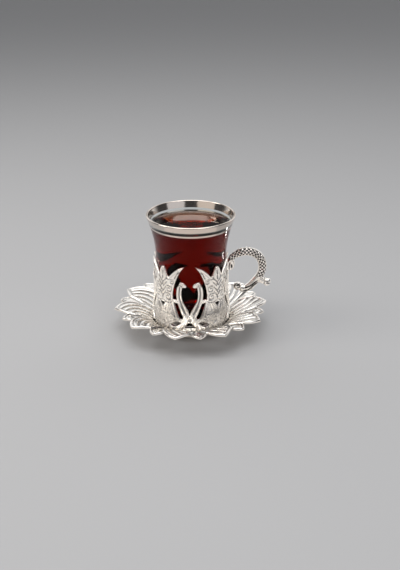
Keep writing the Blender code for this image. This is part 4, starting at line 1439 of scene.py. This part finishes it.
def shared(name, make, context):
    """A material that several pieces share."""
    return bpy.data.materials.get(name) or make(context.scene.tea_glass_look)


class TEAGLASS_OT_glass(Operator):
    """Turn the glass wall with its flared lip and heavy bottom"""

    bl_idname = "tea_glass.glass"
    bl_label = "Glass"

    def execute(self, context):
        sizes = context.scene.tea_glass_sizes
        top = LIP_Z - sizes.coating / MM
        points, faces = turned(glass_profile(top), sizes.segments)
        material = shared("soda-lime glass", soda_lime_glass, context)
        wet = []
        for x, y, z in points:
            inner = math.hypot(x, y) < glass_inner(z) + 0.5 * GLASS_WALL
            wet.append(inner and GLASS_FLOOR_Z - WELD < z < TEA_Z)
        wall = finished("glass_wall", mesh_of("glass_wall", points, faces, "wet", wet), material)
        carried(wall, "glass")
        return {"FINISHED"}


class TEAGLASS_OT_coatings(Operator):
    """Lay the silver band over the lip and the thin silver ring under it"""

    bl_idname = "tea_glass.coatings"
    bl_label = "Silver Band and Ring"

    def execute(self, context):
        sizes = context.scene.tea_glass_sizes
        material = shared("fired silver lustre", fired_silver, context)
        thickness = sizes.coating / MM
        ring_low, ring_high = sizes.ring_low / MM, (sizes.ring_low + sizes.ring_width) / MM
        band_low = LIP_Z - sizes.band_height / MM
        inner_low = LIP_Z - sizes.band_inner_height / MM
        skins = {
            "silver_band": skin_profile(band_low, inner_low, thickness, True),
            "silver_ring": skin_profile(ring_low, ring_high, thickness, False),
        }
        for name, profile in skins.items():
            points, faces = turned(profile, sizes.segments)
            skin = finished(name, mesh_of(name, points, faces), material)
            carried(skin, None)
        return {"FINISHED"}


class TEAGLASS_OT_tea(Operator):
    """Pour the tea up to its level"""

    bl_idname = "tea_glass.tea"
    bl_label = "Tea"

    def execute(self, context):
        sizes = context.scene.tea_glass_sizes
        points, faces = turned(tea_profile(sizes.wall_reach / MM, sizes.meniscus / MM), sizes.segments)
        material = shared("brewed black tea", black_tea, context)
        wet = points[:, 2] < TEA_Z - 1.5 * sizes.meniscus / MM
        fill = finished("tea_fill", mesh_of("tea_fill", points, faces, "wet", wet), material)
        carried(fill, "tea")
        return {"FINISHED"}


class TEAGLASS_OT_holder(Operator):
    """Cast the openwork holder: four pairs of swans on a ring foot"""

    bl_idname = "tea_glass.holder"
    bl_label = "Swan Holder"

    def execute(self, context):
        sizes = context.scene.tea_glass_sizes
        material = shared("silver plate on cast zinc", silver_plate, context)
        pair = swan_pair(sizes.swan_grid / MM, sizes.edge_round / MM)
        openwork = ringed(pair, SWANS // 2, material)
        openwork.transform(Matrix.Rotation(SWAN_TURN, 4, "Z"))
        points, faces = turned(foot_profile(), sizes.segments)
        radius, height = np.hypot(*points[:, :2].T), points[:, 2]
        # Painted shade: inside the bore the ring takes the full recess darkness
        painted_bore_shade = (radius < RING_BORE[0]) & (height > RING_BORE[1])
        foot = mesh_of("foot", points, faces, values=painted_bore_shade)
        carried(fused("holder_casting", [openwork, foot], material), "holder")
        return {"FINISHED"}


class TEAGLASS_OT_handle(Operator):
    """Cast the ring handle with its studded arch, fluted limb, knob and scroll"""

    bl_idname = "tea_glass.handle"
    bl_label = "Handle"

    def execute(self, context):
        material = shared("silver plate on cast zinc", silver_plate, context)
        meshes = [
            swept(HANDLE_LIMB, HANDLE_DEPTH, limb_relief),
            swept(KNOB_LIMB, KNOB_DEPTH, knob_relief),
            swept(LEAF_HEAD, LEAF_HEAD_DEPTH, leaf_relief),
            scroll_mesh(),
            post_mesh(),
        ]
        casting = fused("handle_casting", meshes + bead_meshes(), material)
        carried(casting, "handle")
        return {"FINISHED"}


class TEAGLASS_OT_saucer(Operator):
    """Cast the pierced saucer from ten pairs of petals"""

    bl_idname = "tea_glass.saucer"
    bl_label = "Petal Saucer"

    def execute(self, context):
        sizes = context.scene.tea_glass_sizes
        material = shared("silver plate on cast zinc", silver_plate, context)
        unit = petal_unit(sizes.petal_grid / MM, sizes.edge_round / MM)
        casting = finished("saucer_casting", ringed(unit, PETALS, material), material)
        carried(casting, "saucer")
        return {"FINISHED"}


def softbox(name, place, size, colour, power):
    """A rectangular area light that points at the glass."""
    data = bpy.data.lights.new(name, "AREA")
    data.shape = "RECTANGLE"
    data.size, data.size_y = size
    data.energy = power
    data.color = linear(colour)
    lamp = bpy.data.objects.new(name, data)
    bpy.context.scene.collection.objects.link(lamp)
    lamp.location = place
    way = Vector((0.0, 0.0, 0.5 * LIP_Z * MM)) - Vector(place)
    lamp.rotation_euler = way.to_track_quat("-Z", "Y").to_euler()
    return lamp


def table_card(name, finish, azimuth, reach, width, colour, power):
    """A flat light on the floor that shines on the pieces of one finish alone."""
    near, far = reach
    card = softbox(name, (0.0, 0.0, 0.0), (width, far - near), colour, power)
    angle = math.radians(azimuth)
    middle = 0.5 * (near + far)
    card.location = (middle * math.sin(angle), middle * math.cos(angle), CARD_HEIGHT)
    card.rotation_euler = (math.pi, 0.0, -angle)
    card.visible_camera = False
    card.visible_transmission = False
    lit = bpy.data.collections.new(name)
    for item in bpy.context.scene.objects:
        if item.type == "MESH" and item.data.materials and finish in item.data.materials[0].name:
            lit.objects.link(item)
    card.light_linking.receiver_collection = lit


def paper_floor(material):
    """The sheet of paper that the saucer stands on."""
    corners = [(x * PAPER_HALF, y * PAPER_HALF, 0.0) for x, y in ((-1, -1), (1, -1), (1, 1), (-1, 1))]
    mesh = bpy.data.meshes.new("paper_floor")
    mesh.from_pydata(corners, [], [(0, 1, 2, 3)])
    mesh.materials.append(material)
    floor = bpy.data.objects.new("paper_floor", mesh)
    bpy.context.scene.collection.objects.link(floor)


def studio_world(strength):
    """The room's light, darker in front of the glass than behind it."""
    world = bpy.data.worlds.new("studio")
    world.use_nodes = True
    tree = world.node_tree
    tree.nodes.clear()
    place = add_node(tree, "ShaderNodeTexCoord").outputs["Generated"]
    way = add_node(tree, "ShaderNodeSeparateXYZ", {0: place}).outputs
    shares = []
    for low, high in (PALE_BEHIND, GREY_BEHIND):
        behind = {"Value": way["Y"], "From Min": low, "From Max": high}
        behind = add_node(tree, "ShaderNodeMapRange", behind, interpolation_type="SMOOTHSTEP")
        shares.append(behind.outputs[0])
    level = {0: way["Z"], 1: GREY_LEVEL, 2: GREY_HALF}
    level = add_node(tree, "ShaderNodeMath", level, operation="COMPARE")
    patch = add_node(tree, "ShaderNodeMath", {0: shares[1], 1: level.outputs[0]}, operation="MULTIPLY")
    room = {0: shares[0], 6: opaque(linear(ROOM_DARK)), 7: opaque(linear(ROOM_PALE))}
    room = add_node(tree, "ShaderNodeMix", room, data_type="RGBA")
    room = {0: patch.outputs[0], 6: room.outputs[2], 7: opaque(linear(ROOM_GREY))}
    room = add_node(tree, "ShaderNodeMix", room, data_type="RGBA")
    glow = add_node(tree, "ShaderNodeBackground", {"Color": room.outputs[2], "Strength": strength})
    add_node(tree, "ShaderNodeOutputWorld", {"Surface": glow.outputs[0]})
    return world


class TEAGLASS_OT_stage(Operator):
    """Set the paper floor, the softboxes, the room light and the camera"""

    bl_idname = "tea_glass.stage"
    bl_label = "Stage"

    def execute(self, context):
        stage = context.scene.tea_glass_stage
        paper_floor(shared("matte paper backdrop", backdrop_paper, context))
        for *lamp, power in SOFTBOXES:
            softbox(*lamp, getattr(stage, power))
        for *card, power in TABLE_CARDS:
            table_card(*card, getattr(stage, power))
        context.scene.world = studio_world(stage.room)
        context.scene.view_settings.view_transform = "Standard"

        data = bpy.data.cameras.new("camera")
        data.lens = CAMERA_LENS
        data.sensor_width = CAMERA_SENSOR
        camera = bpy.data.objects.new("camera", data)
        context.scene.collection.objects.link(camera)
        camera.location = CAMERA_PLACE
        camera.rotation_euler = Euler((math.radians(CAMERA_TILT), 0.0, 0.0))
        context.scene.camera = camera
        return {"FINISHED"}


PIECES = ("saucer", "holder", "handle", "glass", "coatings", "tea", "stage")


class TEAGLASS_PT_panel(Panel):
    """Lists the pieces and what can be changed"""

    bl_label = "Tea Glass"
    bl_idname = "TEAGLASS_PT_panel"
    bl_space_type = "VIEW_3D"
    bl_region_type = "UI"
    bl_category = "Tea Glass"

    def draw(self, context):
        scene = context.scene
        for group in (scene.tea_glass_sizes, scene.tea_glass_look, scene.tea_glass_stage):
            box = self.layout.box()
            for name in group.__annotations__:
                box.prop(group, name)
        for name in PIECES:
            self.layout.operator(f"tea_glass.{name}")


CLASSES = (
    TeaGlassLook,
    TeaGlassSizes,
    TeaGlassStage,
    TEAGLASS_OT_glass,
    TEAGLASS_OT_coatings,
    TEAGLASS_OT_tea,
    TEAGLASS_OT_holder,
    TEAGLASS_OT_handle,
    TEAGLASS_OT_saucer,
    TEAGLASS_OT_stage,
    TEAGLASS_PT_panel,
)


def register():
    for item in CLASSES:
        bpy.utils.register_class(item)
    bpy.types.Scene.tea_glass_look = PointerProperty(type=TeaGlassLook)
    bpy.types.Scene.tea_glass_sizes = PointerProperty(type=TeaGlassSizes)
    bpy.types.Scene.tea_glass_stage = PointerProperty(type=TeaGlassStage)


def unregister():
    del bpy.types.Scene.tea_glass_stage
    del bpy.types.Scene.tea_glass_sizes
    del bpy.types.Scene.tea_glass_look
    for item in reversed(CLASSES):
        bpy.utils.unregister_class(item)


def main():
    register()
    for name in PIECES:
        getattr(bpy.ops.tea_glass, name)()


if __name__ == "__main__":
    main()
